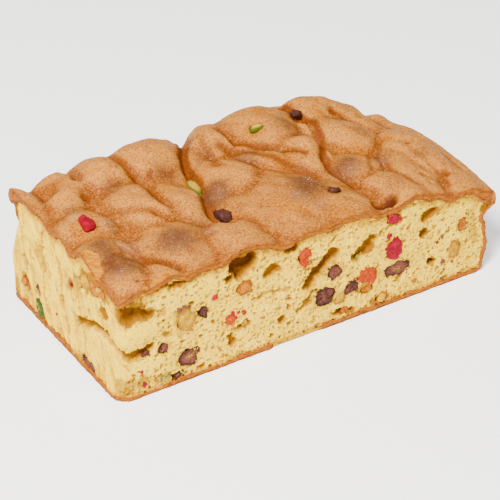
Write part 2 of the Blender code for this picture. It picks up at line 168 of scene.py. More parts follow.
# Furrows between folds: their line, depth and half width.
CREASES = (
    (((19, 30), (22, 26), (26, 20), (30, 11), (33, 5)), 3.0, 1.7),
    (((91, 106), (88, 92), (82, 84), (79, 73), (77, 60), (72, 42), (69, 34), (72, 22)), 3.4, 2.4),
    (((91, 108), (89, 97)), 4.5, 4.0),
    (((107, 92), (108, 81), (115, 72), (124, 64), (133, 52)), 2.0, 2.2),
    (((101, 80), (111, 67), (121, 54), (130, 42)), 1.8, 3.0),
    (((150, 98), (150, 88), (153, 75), (151, 65), (145, 56), (141, 48), (141, 36), (144, 24)), 2.6, 2.2),
    (((49, 96), (51, 84), (54, 72), (52, 50)), 1.6, 3.0),
    (((2, 24), (8, 22), (16, 25), (20, 29)), 1.4, 1.6),
    (((24, 78), (23, 66), (30, 58), (44, 46), (48, 40)), 1.2, 3.0),
    (((96, 92), (94, 74), (92, 66)), 1.2, 2.2),
    (((170, 84), (176, 72), (186, 60)), 1.2, 2.2),
    (((156, 30), (166, 46), (178, 52)), 1.2, 2.6),
    (((184, 44), (186, 24), (187, 6)), 1.0, 2.0),
)

# Broad dips that run in from the back edge: their line, depth and half width.
BACK_DIPS = (
    (((5, 112), (11, 100), (15, 88)), 6.2, 6.3),
    (((29, 108), (28, 98), (27, 88)), 2.8, 3.0),
    (((94, 108), (92.5, 98)), 8.0, 4.1),
    (((204, 108), (200, 96), (198, 80)), 6.4, 7.4),
)

# Raisins just under the crust raise brown bumps: x, y, radius, rise.
RAISIN_BUMPS = (
    (8, 31, 6.5, 0.9), (41, 20, 9, 1.2), (11, 17, 9, 1.1), (80, 49, 6.5, 1.2), (76, 43, 4, 0.5),
    (118, 30, 8.5, 1.2), (110, 21, 6, 0.5), (148, 38, 7, 1), (169, 40, 6, 0.6), (23, 48, 3.5, 0.6),
    (38, 72, 6, 0.6), (66, 74, 6, 0.6), (106, 64, 6.5, 0.7), (93, 80, 5, 0.5), (136, 76, 7, 0.6),
    (170, 59, 5, 0.5), (12, 66, 5, 0.4), (186, 30, 4.5, 0.4), (60, 30, 6, 0.4), (157, 12, 5, 0.4),
)

# Small sunken spots of the crust: x, y, radius, depth.
CRUST_PITS = (
    (24, 74, 2.6, 1.6), (60, 76, 2.2, 1.4), (45, 45, 2.4, 0.9), (51, 78, 2.6, 0.9), (169, 82, 2.4, 1.8),
    (183, 78, 2.2, 1.2), (192, 75, 2, 1.2), (187, 41, 2, 1.3), (177, 15, 2, 1.5), (191, 15, 2, 1.5),
    (176, 8, 1.6, 1), (142, 48, 2.6, 1.5), (155, 22, 1, 0.6), (148, 26, 1, 0.6), (79, 72, 2.2, 1.2),
    (12, 5, 1.4, 1.2), (7, 51, 3.4, 0.7), (90, 66, 3.4, 0.7), (144, 6, 3.4, 3.2), (150, 5, 3.6, 3.6),
    (153, 53, 2.4, 0.9), (166, 30, 1.6, 0.8), (199, 52, 1.8, 0.9), (132, 40, 1.6, 0.7),
)

# Places where the crust stayed orange: x, y, radius.
ORANGE_SPOTS = (
    (7, 52, 4.5), (8, 47, 4), (51, 78, 4.5), (45, 45, 4), (90, 66, 5.5), (117, 77, 5), (125, 54, 6.5),
    (153, 53, 4.5), (122, 4, 6), (101, 17, 7), (72, 30, 4), (117, 56, 5), (189, 66, 4.5), (30, 8, 4),
    (58, 60, 5), (26, 20, 3), (143, 44, 5), (164, 50, 5), (76, 66, 5), (4, 22, 3), (131, 90, 5),
    (160, 80, 5), (180, 50, 4), (20, 92, 5), (62, 70, 4),
)

# Where the skin tore off along the cuts and left the moist crust bare: x, y, radius.
BARE_SPOTS = (
    (0, 21, 3.4), (0.5, 26, 4.2), (-0.5, 31, 3.2), (19, -0.5, 2.6), (24, -0.5, 2.8), (13, -0.5, 2),
)

# Sugar that came up through the crust, and a painted sheen on the raisin bumps: x, y, radius.
SUGAR_SPOTS = (
    (23, 52, 3.5), (23, 32, 5.5), (109, 21, 5), (115, 13, 3.5), (80, 47, 4), (41, 18, 6), (149, 36, 4),
    (11, 60, 3.5), (8, 13, 4.5), (167, 38, 4), (60, 22, 4), (120, 33, 4),
)

# Air holes of the cut faces. Along the cuts, s runs from -WIDTH at the back, round the corner, to LENGTH.
# Each: s, z, half width, half height, turn in degrees, depth.
AIR_HOLES = (
    (60.6, 53.6, 4.4, 4.6, 25, 7.5), (67.4, 52.2, 4.8, 6.2, -15, 7.5), (64.4, 48.4, 3.8, 3.4, 0, 6),
    (4.5, 46.8, 6.4, 5, 0, 6), (11.5, 45.4, 5.2, 2.8, -20, 4.6), (-1.5, 49, 3, 3, 0, 4),
    (19.5, 57, 5, 1.7, 8, 5), (31, 55.4, 7, 1.5, -3, 3.2), (57.2, 47.6, 2.3, 1.7, 0, 3.4),
    (81, 43.2, 5, 3.3, 26, 3.2), (90.4, 52.8, 4, 2.8, -20, 4.4), (171, 44.8, 4.4, 3.6, 15, 3.4),
    (173.4, 47.2, 2.4, 2.2, 0, 3.4), (168, 34.6, 2.7, 2.2, 0, 3.6), (172.2, 16.3, 2.6, 2.2, 0, 4),
    (59.1, 13.4, 1.5, 3.9, -6, 2.8), (59.1, 11.4, 2, 2.2, 0, 2.8), (65.7, 19.4, 3, 2, 20, 2.8),
    (62, 18.4, 2, 1.5, 0, 2.2), (86.2, 14.4, 1.5, 2.2, 10, 2.8), (119, 7, 3.2, 1.6, 10, 2.4),
    (126, 5.2, 2.2, 1.4, 0, 2.2), (153, 14.4, 1.9, 2.3, 0, 2.6), (24.2, 29.7, 1.6, 2, 0, 2.4),
    (21.9, 42, 2.8, 2.2, 0, 1.2), (143.6, 43.6, 2, 1.5, 30, 2.4), (156, 33.6, 1.5, 1.4, 0, 2),
    (137, 52, 2.2, 1.4, 10, 2), (115, 49, 2, 1.5, 0, 2), (181, 38, 1.5, 1.3, 0, 1.8),
    (160, 41, 1.8, 1.4, 20, 2), (193, 20, 1.4, 1.6, 0, 2), (100, 37, 1.6, 1.4, 0, 2),
    (75, 32, 2, 1.3, 0, 2.2), (48, 27, 1.6, 1.5, 0, 2), (90, 24, 1.6, 1.3, 0, 1.8),
    (-14.6, 42.1, 3.2, 2.8, 20, 4), (-94, 25, 2.6, 3.2, 0, 3), (-70.2, 34, 2, 5.4, 25, 3),
    (-55, 24, 2, 4.4, 20, 3), (-62, 44, 1.5, 4.4, 30, 2.4), (-80, 41, 1.4, 4, 25, 2),
    (-28, 33, 1.6, 3.6, 20, 2), (-33, 43, 2.2, 2.4, 0, 2.8), (-88, 8, 2.4, 2, 0, 2),
    (-49.5, 38.5, 1.8, 3.2, 20, 2.4), (-26, 50.5, 4, 2, -20, 2.4), (-38, 47.5, 3, 2, -10, 2),
)

# Torn furrows of the cut faces: their line as (s, z), half width and depth.
TEARS = (
    (((-42, 21), (-31, 26), (-21, 31), (-12, 31), (-5, 29), (3, 25), (9, 23), (15, 26)), 1.9, 4.4),
    (((115.5, 41), (107, 35), (100.5, 28.5)), 2.4, 5.6),
    (((138, 41.5), (133, 38), (128.5, 34.5)), 2.4, 3.8),
    (((-100, 44), (-94, 30), (-92, 20)), 0.9, 2.0),
    (((-84, 53), (-78, 44), (-74, 26), (-72, 10)), 1.1, 2.4),
    (((-68, 56), (-60, 40), (-54, 24), (-50, 8)), 1.0, 2.2),
    (((-48, 52), (-42, 38), (-38, 28)), 0.9, 2.0),
    (((-88, 34), (-84, 22), (-83, 14)), 0.8, 1.6),
    (((-36, 20), (-32, 12), (-31, 6)), 0.8, 1.6),
    (((70, 31), (80, 32), (90, 30)), 0.8, 1.2),
    (((95, 16), (101, 19.5), (104, 24)), 1.1, 2.4),
    (((147, 45), (158, 47)), 0.8, 1.4),
)

# Places where the crumb bulges forward, smooth and moist: s, z, half width, half height, rise.
BULGES = (
    (6, 35, 14, 5.6, 2.2), (-22, 38, 12, 8, 1.2), (14, 14, 16, 9, 0.8), (-50, 50, 22, 7, 0.6),
    (-64, 20, 9, 12, 0.8), (-90, 40, 9, 12, 0.8), (40, 46, 14, 6, 0.5), (178, 24, 16, 9, 0.4),
)

# Stains in the crumb: s, z, half width, half height, then how amber, how rusty and how red.
STAINS = (
    (-28, 51, 12, 5.5, 0.95, 0.15, 0), (-40, 46, 7, 3.5, 0.8, 0, 0), (-15, 51, 7, 4.5, 0.6, 0.1, 0),
    (-14.6, 42, 4.5, 4, 0.9, 0.1, 0), (-49.5, 38, 3, 4.5, 0.5, 0.5, 0.2), (-94, 14, 5, 5, 0.6, 0.4, 0),
    (5, 47, 11, 6.5, 1, 0.35, 0), (12, 45, 7, 4, 0.9, 0.3, 0), (20, 57, 6.5, 2.4, 0.8, 0.9, 0),
    (31, 55, 8.5, 2.2, 0.7, 0.6, 0), (64, 53, 8.5, 8, 0.8, 0.9, 0), (63, 49.5, 5.5, 3.5, 1, 0.6, 0.2),
    (57, 47.5, 3, 2.4, 0.6, 0.9, 0), (81, 43.6, 6, 3, 0.8, 0.4, 0), (90.4, 52.8, 5, 3.6, 0.7, 0.9, 0),
    (108, 35, 9, 7, 0.3, 0.6, 0), (134, 37.5, 6, 4, 0.8, 0.4, 0), (171, 45, 6, 4.2, 0.9, 0.4, 0),
    (168, 34.6, 3.4, 3, 0.9, 0.3, 0), (172.2, 16.3, 3.2, 2.8, 0.6, 1, 0), (119, 7, 4.5, 2.4, 0.9, 0.3, 0),
    (126, 5.2, 3.5, 2.2, 0.9, 0.4, 0), (143, 6.2, 6.5, 2.4, 0.9, 0.1, 0),
    (65.7, 19.2, 3.8, 2.6, 0.8, 0.3, 0), (59, 12.8, 2.6, 4.4, 0.7, 0.1, 0),
    (57, 23.6, 3.6, 2.6, 0.2, 0, 0.7), (60, 28, 5, 2, 0, 0, 0.35), (148.8, 48.6, 6, 2.8, 0.1, 0.1, 0.8),
    (12, 9, 4.5, 4.5, 0.5, 0.4, 0.15), (19.3, 7, 3.5, 2.4, 0.7, 0.2, 0),
    (86.2, 14.2, 2.4, 2.8, 0.4, 1, 0), (101, 19.5, 3.5, 3, 0.5, 0.6, 0), (134, 15, 5, 3, 0.6, 0.2, 0.1),
    (2, 8, 9, 7, 0.5, 0.3, 0), (-104, 6, 6, 7, 0.5, 0.6, 0), (-32, 4, 12, 4, 0.5, 0.5, 0),
    (110, 15, 9, 6, 0.2, 0.3, 0), (198, 30, 4, 16, 0.4, 0.1, 0), (190.7, 32.2, 4.5, 4.5, 0.35, 0.2, 0),
    (34, 38, 7, 5, 0.4, 0.3, 0),
)

# Small named bits of fruit in the cuts: s, z, size.
RED_BITS = (
    (49.1, 40.7, 1.5), (58.6, 28.3, 1.1), (64.6, 26.3, 1.2), (61.6, 27.6, 0.8), (60.2, 25, 0.9),
    (10.7, 14.3, 1.3), (12.5, 6.8, 1.4), (15, 4, 0.8), (146.9, 40.1, 1.5), (-49.5, 38, 1.2),
    (-60.5, 14, 0.8), (136.5, 14.6, 1), (153, 47.4, 1.2), (144.2, 50, 1.2), (127.4, 22, 0.9),
    (72, 47, 0.6), (95, 9.5, 0.7), (181, 9, 0.7),
)
GREEN_BITS = (
    (23.2, 7.2, 2.5), (20.6, 6.4, 1.6), (129.1, 32.8, 1.6), (-78.6, 15.6, 1.4), (131.6, 34.6, 0.9),
    (44.5, 14.5, 0.9), (-60, 28, 0.7),
)
AMBER_BITS = (
    (134.5, 14.4, 1.7), (-93.8, 13.9, 2.4), (-14.8, 51, 2.2), (-25.5, 50.8, 3.6), (-21, 50, 2.2),
    (17.5, 9.8, 1.2), (75, 20, 1), (101.4, 41, 1.2), (163, 9, 1.4), (185.4, 12, 1), (-66, 21, 1),
    (52.4, 10.2, 0.9),
)
YELLOW_BITS = (
    (-31.5, 49.2, 3.4), (-41, 44.6, 3.2), (118.1, 15.6, 2.3), (143.4, 6.3, 2.4), (65.4, 19.6, 1.8),
    (30.2, 27.2, 1.2), (-18, 52, 1.8),
)
DARK_BITS = (
    (174.6, 26.6, 0.8), (176, 28.2, 0.7), (177.6, 28.9, 0.9), (178.8, 30, 0.7), (180.2, 31.2, 0.8),
    (182.1, 32.9, 0.6), (171.6, 24.2, 0.5), (179.2, 14, 1.4), (163.5, 27, 0.5), (193, 37.6, 0.7),
    (85, 5, 0.5), (139.6, 26, 0.5), (99, 3, 0.7), (106, 3.2, 0.8), (113, 3, 0.6), (124, 2.8, 0.8),
    (131, 2.8, 0.6), (141, 3, 0.7), (150, 2.8, 0.5), (158, 2.6, 0.7), (169, 2.8, 0.6), (181, 2.8, 0.7),
    (192, 2.8, 0.5), (30.4, 40.6, 1.3), (33, 41.4, 1.2), (35.6, 40.6, 1), (-31, 30, 0.5),
    (-66.5, 31.5, 0.6), (-44, 32, 0.4), (122, 26, 0.7), (104, 24.5, 0.8),
)

# Each kind of fleck, with the slot of its fruit.
FLECKS = {
    "red_flecks": ("cherry", RED_BITS), "green_flecks": ("angelica", GREEN_BITS),
    "amber_flecks": ("orange_peel", AMBER_BITS), "yellow_flecks": ("lemon_peel", YELLOW_BITS),
    "dark_flecks": ("raisin", DARK_BITS),
}


# --- settings ----------------------------------------------------------------------------------------


def length_setting(name, description, default, high):
    return bpy.props.FloatProperty(
        name=name, description=description, default=default, min=0.0, max=high, unit="LENGTH", precision=5)


def colour_setting(name, description, default):
    return bpy.props.FloatVectorProperty(
        name=name, description=description, default=default, subtype="COLOR", min=0.0, max=1.0)


class FRUITCAKE_PG_crumb(bpy.types.PropertyGroup):
    spacing: length_setting("Mesh spacing", "Distance between points of the cut faces", 0.00051, 0.005)
    pore_size: length_setting("Fine pore size", "Spacing of the crumb's fine pores", 0.00165, 0.01)
    pore_depth: length_setting("Fine pore depth", "Depth of the crumb's fine pores", 0.0008, 0.003)
    bubble_size: length_setting("Bubble size", "Spacing of the larger bubbles", 0.0048, 0.02)
    bubble_depth: length_setting("Bubble depth", "Depth of the larger bubbles", 0.0022, 0.005)
    colour: colour_setting("Crumb", "Colour of the crumb", (0.72, 0.455, 0.010))
    pale: colour_setting("Pale crumb", "Colour of its driest edges", (0.84, 0.57, 0.030))
    # Pore colour: the grain's dark specks, and painted shade in shallow pores.
    golden: colour_setting("Pore", "Colour of shallow pores", (0.44, 0.225, 0.003))
    # Moist crumb colour: amber stains, and painted shade in deeper pits.
    amber: colour_setting("Moist crumb", "Colour of moist hollows", (0.225, 0.082, 0.0))
    # Browned crumb colour: rusty stains and the crumb by the baked crust, and painted shade deep in holes.
    rust: colour_setting("Browned crumb", "Colour deep in holes and by the crust", (0.10, 0.026, 0.003))


class FRUITCAKE_PG_crust(bpy.types.PropertyGroup):
    spacing: length_setting("Mesh spacing", "Distance between points of the top crust", 0.00066, 0.005)
    thickness: length_setting("Thickness", "Thickness of the crust where it is cut", 0.0033, 0.006)
    colour: colour_setting("Crust", "Colour of the slopes of the folds", (0.285, 0.092, 0.012))
    # Crest colour: pale patches of the crust, and painted highlight on the fold tops.
    crest: colour_setting("Crest", "Colour of the tops of the folds", (0.43, 0.165, 0.024))
    # Crease colour: painted shade in the creases and sunken pits.
    crease: colour_setting("Crease", "Colour of the creases", (0.125, 0.024, 0.001))
    bump: colour_setting("Raisin bump", "Colour where a raisin lies under the crust", (0.085, 0.028, 0.012))
    orange: colour_setting("Orange spot", "Colour where the crust stayed moist", (0.34, 0.10, 0.0))
    edge: colour_setting("Edge", "Colour of the crust's cut edge", (0.12, 0.031, 0.002))


class FRUITCAKE_PG_bits(bpy.types.PropertyGroup):
    crumb_size: length_setting("Crumb size", "Mean size of the loose crumbs", 0.0008, 0.003)
    crumb_density: bpy.props.FloatProperty(
        name="Crumbs", description="Loose crumbs on a square metre of cut", default=60000.0, min=0.0)
    sugar_size: length_setting("Sugar size", "Mean size of the sugar grains", 0.00034, 0.002)
    sugar_density: bpy.props.FloatProperty(
        name="Sugar", description="Sugar grains on a square metre of crust", default=160000.0, min=0.0)
    seed: bpy.props.IntProperty(name="Seed", description="Which scatter is made", default=4, min=0)


class FRUITCAKE_PG_stage(bpy.types.PropertyGroup):
    lens: bpy.props.FloatProperty(
        name="Lens", description="Focal length of the camera", default=134.7, min=20.0, max=300.0,
        unit="CAMERA")
    distance: length_setting("Camera distance", "From the camera to the cake", 0.9, 5.0)
    azimuth: bpy.props.FloatProperty(
        name="Azimuth", description="Turn of the camera round the cake", default=math.radians(-32.39),
        unit="ROTATION")
    elevation: bpy.props.FloatProperty(
        name="Elevation", description="Height of the camera above the horizon",
        default=math.radians(32.95), unit="ROTATION")


# --- the block's form --------------------------------------------------------------------------------


def ease(share):
    """0 to 1 with a soft start and end."""
    share = np.clip(share, 0.0, 1.0)
    return share * share * (3.0 - 2.0 * share)


def wander(x, y, size, seed):
    """A smooth wavering, mostly between -1 and 1, from a few crossing waves."""
    total = 0.0
    for k in range(4):
        turn = seed * 1.7 + k * 2.39
        wave = 2.0 * math.pi / (size * (1.0 + 0.37 * k))
        total = total + np.sin((x * math.cos(turn) + y * math.sin(turn)) * wave + seed + 1.3 * k)
    return total / 2.6


def turned(x, y, middle_x, middle_y, turn):
    """Distances from a middle along and across a turned axis."""
    c, s = math.cos(math.radians(turn)), math.sin(math.radians(turn))
    return (x - middle_x) * c + (y - middle_y) * s, (y - middle_y) * c - (x - middle_x) * s


def folds_height(x, y):
    heights = [np.zeros_like(x)]
    for fold_x, fold_y, half_length, half_width, turn, rise in FOLDS:
        along, across = turned(x, y, fold_x, fold_y, turn)
        heights.append(rise - FOLD_DROP * ((along / half_length) ** 2 + (across / half_width) ** 2))
    heights = np.array(heights)
    highest = heights.max(axis=0)
    return highest + CREASE_SOFTNESS * np.log(np.exp((heights - highest) / CREASE_SOFTNESS).sum(axis=0))


def distance_to_line(x, y, points):
    nearest = np.full_like(x, 1e9)
    for (ax, ay), (bx, by) in zip(points, points[1:]):
        dx, dy = bx - ax, by - ay
        share = np.clip(((x - ax) * dx + (y - ay) * dy) / (dx * dx + dy * dy), 0.0, 1.0)
        nearest = np.minimum(nearest, np.hypot(x - ax - share * dx, y - ay - share * dy))
    return nearest


def crease_depth(x, y, lines=CREASES):
    depth = np.zeros_like(x)
    for points, deep, half_width in lines:
        depth = np.maximum(depth, deep * np.exp(-((distance_to_line(x, y, points) / half_width) ** 2)))
    return depth


def round_spots(x, y, spots, height=None):
    """Soft round spots added up, each x, y, radius and a height of its own unless one is given for all."""
    total = np.zeros_like(x)
    for spot in spots:
        reach = ((x - spot[0]) ** 2 + (y - spot[1]) ** 2) / spot[2] ** 2
        total += (spot[3] if height is None else height) * np.exp(-(reach**1.5))
    return total


def rolled_edge(distance, radius):
    inward = np.clip(distance, 0.0, radius)
    return radius - np.sqrt(np.maximum(radius**2 - (radius - inward) ** 2, 0.0))


def baked_profile(level):
    """How far a baked side stands out of its plan line: foot, belly, hollow, and the crust's lip."""
    foot = -FOOT_INSET * (1.0 - ease(level / 0.05))
    belly = BELLY * np.exp(-(((level - 0.38) / 0.16) ** 2))
    hollow = -HOLLOW * np.exp(-(((level - 0.82) / 0.1) ** 2))
    return foot + belly + hollow + LIP * ease((level - 0.8) / 0.14)


def back_profile(level):
    return baked_profile(level) - BACK_LEAN * ease((level - 0.45) / 0.4)


def baked_edge_distance(x, y):
    """How far inside the baked outline a place lies, round its corner too."""
    from_end = LENGTH + baked_profile(1.0) - x
    from_back = WIDTH + back_profile(1.0) - y
    radius = BACK_CORNER_RADIUS
    in_corner = np.maximum(from_end, from_back) < radius
    round_distance = radius - np.hypot(radius - from_end, radius - from_back)
    return np.where(in_corner, round_distance, np.minimum(from_end, from_back))


def top_height(x, y):
    """Height of the top crust."""
    climb = BACK_RISE * ease(y / WIDTH)
    past = np.maximum(x + END_SLOPE_SKEW * y - END_SLOPE_START, 0.0) / (LENGTH - END_SLOPE_START)
    arch = CREASE_HEIGHT + climb - END_FALL * past**END_FALL_BEND
    from_edge = np.minimum(np.minimum(x, y), baked_edge_distance(x, y))
    free = ease(from_edge / 12.0)
    bent_x = x + 1.6 * free * wander(x, y, 26.0, 1.0)
    bent_y = y + 1.6 * free * wander(x, y, 23.0, 4.0)
    furrows = np.maximum(crease_depth(bent_x, bent_y), crease_depth(bent_x, bent_y, BACK_DIPS))
    shape = folds_height(bent_x, bent_y) - furrows
    shape = shape + round_spots(x, y, RAISIN_BUMPS) - round_spots(x, y, CRUST_PITS)
    shape = shape + 0.35 * free * wander(x, y, 9.0, 6.0)
    return arch + shape - rolled_edge(baked_edge_distance(x, y), LIP_RADIUS)


def round_corner(x, y, corner_x, corner_y, radius, inward_x, inward_y):
    """Turns the last square of the plan at a corner into a quarter disc."""
    a = 1.0 - (x - corner_x) * inward_x / radius
    b = 1.0 - (y - corner_y) * inward_y / radius
    inside = (a > 0.0) & (b > 0.0)
    squeeze = np.maximum(a, b) / np.maximum(np.hypot(a, b), 1e-9)
    return (
        np.where(inside, corner_x + inward_x * radius * (1.0 - a * squeeze), x),
        np.where(inside, corner_y + inward_y * radius * (1.0 - b * squeeze), y),
    )


def plan_point(u, v, level, cut_radius=CUT_CORNER_RADIUS, proud=0.0, inset=0.0):
    """The plan of the block at one level: proud moves the cut sides out, inset the baked sides in."""
    left = -LEFT_FOOT_BOW * (1.0 - level) ** 2 - proud
    right = LENGTH + baked_profile(level) - inset
    back = WIDTH + back_profile(level) - inset
    x = left + (right - left) * u
    y = -proud + (back + proud) * v
    broken = BROKEN_FOOT * (1.0 - ease(level / 0.14))
    x, y = round_corner(x, y, left, -proud, cut_radius + broken, 1.0, 1.0)
    return round_corner(x, y, right, back, BACK_CORNER_RADIUS, -1.0, -1.0)


def outline(steps_u, steps_v):
    """The plan's edge once round from the front left corner, as arrays of u and v."""
    u, v = np.arange(steps_u) / steps_u, np.arange(steps_v) / steps_v
    return (
        np.concatenate((u, np.ones(steps_v), 1.0 - u, np.zeros(steps_v))),
        np.concatenate((np.zeros(steps_u), v, np.ones(steps_u), 1.0 - v)),
    )


def front_share(s):
    """0 along the left cut and 1 along the front, easing over round their corner."""
    return ease((s + CORNER_REACH) / (2.0 * CORNER_REACH))


def way_inward(s):
    turn = front_share(s) * math.pi / 2
    return np.stack((np.cos(turn), np.sin(turn), np.zeros_like(turn)), axis=1)


def moved_inward(ring, distance):
    """A ring of points moved towards the middle of the block."""
    way = np.array((LENGTH / 2, WIDTH / 2)) - ring[:, :2]
    moved_ring = ring.copy()
    moved_ring[:, :2] += way / np.linalg.norm(way, axis=1)[:, None] * distance
    return moved_ring


# --- making meshes -----------------------------------------------------------------------------------


def to_frame(points):
    """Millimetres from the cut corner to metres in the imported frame."""
    return (np.asarray(points, float) + CUT_CORNER) * MM


def around(first, count):
    """The indices of a ring of points, and of the point after each."""
    columns = np.arange(count)
    return first + columns, first + (columns + 1) % count


def ring_faces(first, count, rings):
    """Quads between rings of count points each, the first of which starts at index first."""
    here, after = around(first, count)
    down = np.arange(rings - 1)[:, None] * count
    quads = np.stack((down + here, down + count + here, down + count + after, down + after), axis=-1)
    return quads.reshape(-1, 4)


def closed_rings(rings):
    """Points and faces of a body built up from rings, with a flat face at each end."""
    count = len(rings[0])
    faces = ring_faces(0, count, len(rings))[:, ::-1].tolist()
    faces.append(list(range(count))[::-1])
    faces.append([(len(rings) - 1) * count + i for i in range(count)])
    return np.concatenate(rings), faces


def in_scene(name, data):
    made = bpy.data.objects.new(name, data)
    bpy.context.scene.collection.objects.link(made)
    return made


def new_object(name, points, faces, fields):
    """A mesh object at the origin, its fields kept as attributes of its points."""
    mesh = bpy.data.meshes.new(name)
    mesh.from_pydata(points.tolist(), [], faces)
    for field, values in fields.items():
        values = np.asarray(values, np.float32)
        kind, label = ("FLOAT_VECTOR", "vector") if values.ndim == 2 else ("FLOAT", "value")
        mesh.attributes.new(field, kind, "POINT").data.foreach_set(label, values.ravel())
    mesh.shade_smooth()
    return in_scene(name, mesh)


def settle(made, slot, *nodes):
    """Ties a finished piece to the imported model."""
    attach(made, "root")
    if nodes:
        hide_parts(*nodes)


# --- node trees --------------------------------------------------------------------------------------


class Wiring:
    """Adds nodes to a tree, each joined to what feeds it as it is made."""

    def __init__(self, tree):
        self.tree = tree

    def feed(self, node, feeds):
        """Fills a node's inputs, each from another node's socket or with a plain value."""
        for socket, value in feeds.items():
            if isinstance(value, bpy.types.NodeSocket):
                self.tree.links.new(value, node.inputs[socket])
            else:
                node.inputs[socket].default_value = value

    def add(self, kind, feeds=None, **settings):
        node = self.tree.nodes.new(kind)
        for name, value in settings.items():
            setattr(node, name, value)
        self.feed(node, feeds or {})
        return node

    def math(self, operation, a, b=0.0):
        return self.add("ShaderNodeMath", {0: a, 1: b}, operation=operation).outputs[0]

    def plus(self, a, b):
        return self.math("ADD", a, b)

    def times(self, a, b):
        return self.math("MULTIPLY", a, b)

    def vector(self, operation, a, b):
        return self.add("ShaderNodeVectorMath", {0: a, 1: b}, operation=operation).outputs[0]

    def scaled(self, a, factor):
        return self.add("ShaderNodeVectorMath", {0: a, 3: factor}, operation="SCALE").outputs[0]

    def ramp(self, value, low, high, start=0.0, end=1.0, smooth=True):
        kind = "SMOOTHSTEP" if smooth else "LINEAR"
        feeds = {0: value, 1: low, 2: high, 3: start, 4: end}
        return self.add("ShaderNodeMapRange", feeds, interpolation_type=kind, clamp=True).outputs[0]

    def noise(self, place, scale, detail, roughness, colour=False):
        feeds = {"Vector": place, "Scale": scale, "Detail": detail, "Roughness": roughness}
        return self.add("ShaderNodeTexNoise", feeds).outputs[1 if colour else 0]

    def sway(self, place, scale, detail, roughness, low=0.25, high=0.75, start=-1.0, end=1.0):
        """Noise spread evenly from start to end."""
        return self.ramp(self.noise(place, scale, detail, roughness), low, high, start, end, smooth=False)

    def jitter(self, place, scale, reach):
        """A vector that wavers about nothing, up to reach or so each way."""
        free = self.vector("SUBTRACT", self.noise(place, scale, 3.0, 0.6, colour=True), (0.5, 0.5, 0.5))
        return self.scaled(free, self.times(reach, 2.0))

    def cells(self, place, scale):
        """Distance to the nearest cell point, and a random number for that cell."""
        cell = self.add("ShaderNodeTexVoronoi", {"Vector": place, "Scale": scale}).outputs
        return cell["Distance"], self.add("ShaderNodeSeparateXYZ", {0: cell["Color"]}).outputs[0]

    def mix(self, share, a, b):
        def solid(colour):
            return colour if isinstance(colour, bpy.types.NodeSocket) else (*tuple(colour)[:3], 1.0)

        return self.add("ShaderNodeMix", {0: share, 6: solid(a), 7: solid(b)}, data_type="RGBA").outputs[2]

    def layers(self, colour, *coats):
        """A colour with others laid over it in turn, each a share and the colour it brings."""
        for share, coat in coats:
            colour = self.mix(share, colour, coat)
        return colour

    def field(self, name, share=None):
        """One of the piece's own fields in a finish, or a share of it."""
        value = self.add("ShaderNodeAttribute", attribute_name=name, attribute_type="GEOMETRY").outputs["Fac"]
        return value if share is None else self.times(value, share)

    def bump(self, shader, height, strength, distance):
        feeds = {"Strength": strength, "Distance": distance, "Height": height}
        self.feed(shader, {"Normal": self.add("ShaderNodeBump", feeds).outputs[0]})

    def place(self):
        return self.add("ShaderNodeTexCoord").outputs["Object"]

    def position(self):
        return self.add("GeometryNodeInputPosition").outputs[0]

    def normal(self):
        return self.add("GeometryNodeInputNormal").outputs[0]

    def named(self, field, kind="FLOAT"):
        """One of the piece's own fields in a geometry tree."""
        return self.add("GeometryNodeInputNamedAttribute", {"Name": field}, data_type=kind).outputs[0]

    def moved(self, geometry, offset):
        return self.add("GeometryNodeSetPosition", {"Geometry": geometry, "Offset": offset}).outputs[0]

    def strewn(self, points, instance, rotation, scale):
        """An instance on every point, made real."""
        feeds = {"Points": points, "Instance": instance, "Rotation": rotation, "Scale": scale}
        placed = self.add("GeometryNodeInstanceOnPoints", feeds).outputs[0]
        return self.add("GeometryNodeRealizeInstances", {0: placed}).outputs[0]

    def random(self, low, high, seed):
        kind, first = ("FLOAT_VECTOR", 0) if isinstance(low, tuple) else ("FLOAT", 2)
        feeds = {first: low, first + 1: high, 8: seed}
        return self.add("FunctionNodeRandomValue", feeds, data_type=kind).outputs[first // 2]


def new_tree(name, kind, inputs, outputs):
    """An empty tree with named sockets: its wiring, its input node and its output node."""
    tree = bpy.data.node_groups.new(name, kind)
    for label, (socket_kind, value) in inputs.items():
        socket = tree.interface.new_socket(label, in_out="INPUT", socket_type="NodeSocket" + socket_kind)
        if value is not None:
            socket.default_value = value
    for label, socket_kind in outputs.items():
        tree.interface.new_socket(label, in_out="OUTPUT", socket_type="NodeSocket" + socket_kind)
    wiring = Wiring(tree)
    return wiring, wiring.add("NodeGroupInput").outputs, wiring.add("NodeGroupOutput")


def geometry_tree(name, inputs):
    sockets = {"Geometry": ("Geometry", None)} | {label: ("Float", value) for label, value in inputs.items()}
    return new_tree(name, "GeometryNodeTree", sockets, {"Geometry": "Geometry"})


def finish_tree(wiring, geometry, material, end):
    """The tree's last steps: instances made real, and the finish set."""
    real = wiring.add("GeometryNodeRealizeInstances", {0: geometry}).outputs[0]
    done = wiring.add("GeometryNodeSetMaterial", {"Geometry": real, "Material": material}).outputs[0]
    wiring.feed(end, {0: done})
    return wiring.tree


def run_tree(made, tree, values):
    """Runs a tree on an object and keeps the result as its plain mesh."""
    modifier = made.modifiers.new(tree.name, "NODES")
    modifier.node_group = tree
    for item in tree.interface.items_tree:
        if item.in_out == "INPUT" and item.name in values:
            modifier[item.identifier] = values[item.name]
    bpy.context.view_layer.update()
    depsgraph = bpy.context.evaluated_depsgraph_get()
    solid = made.evaluated_get(depsgraph)
    mesh = bpy.data.meshes.new_from_object(solid, preserve_all_data_layers=True, depsgraph=depsgraph)
    made.modifiers.clear()
    made.data = mesh
    made.data.shade_smooth()
    if not made.data.polygons:
        raise RuntimeError(f"{tree.name} made nothing")
    return made


# --- finishes ----------------------------------------------------------------------------------------


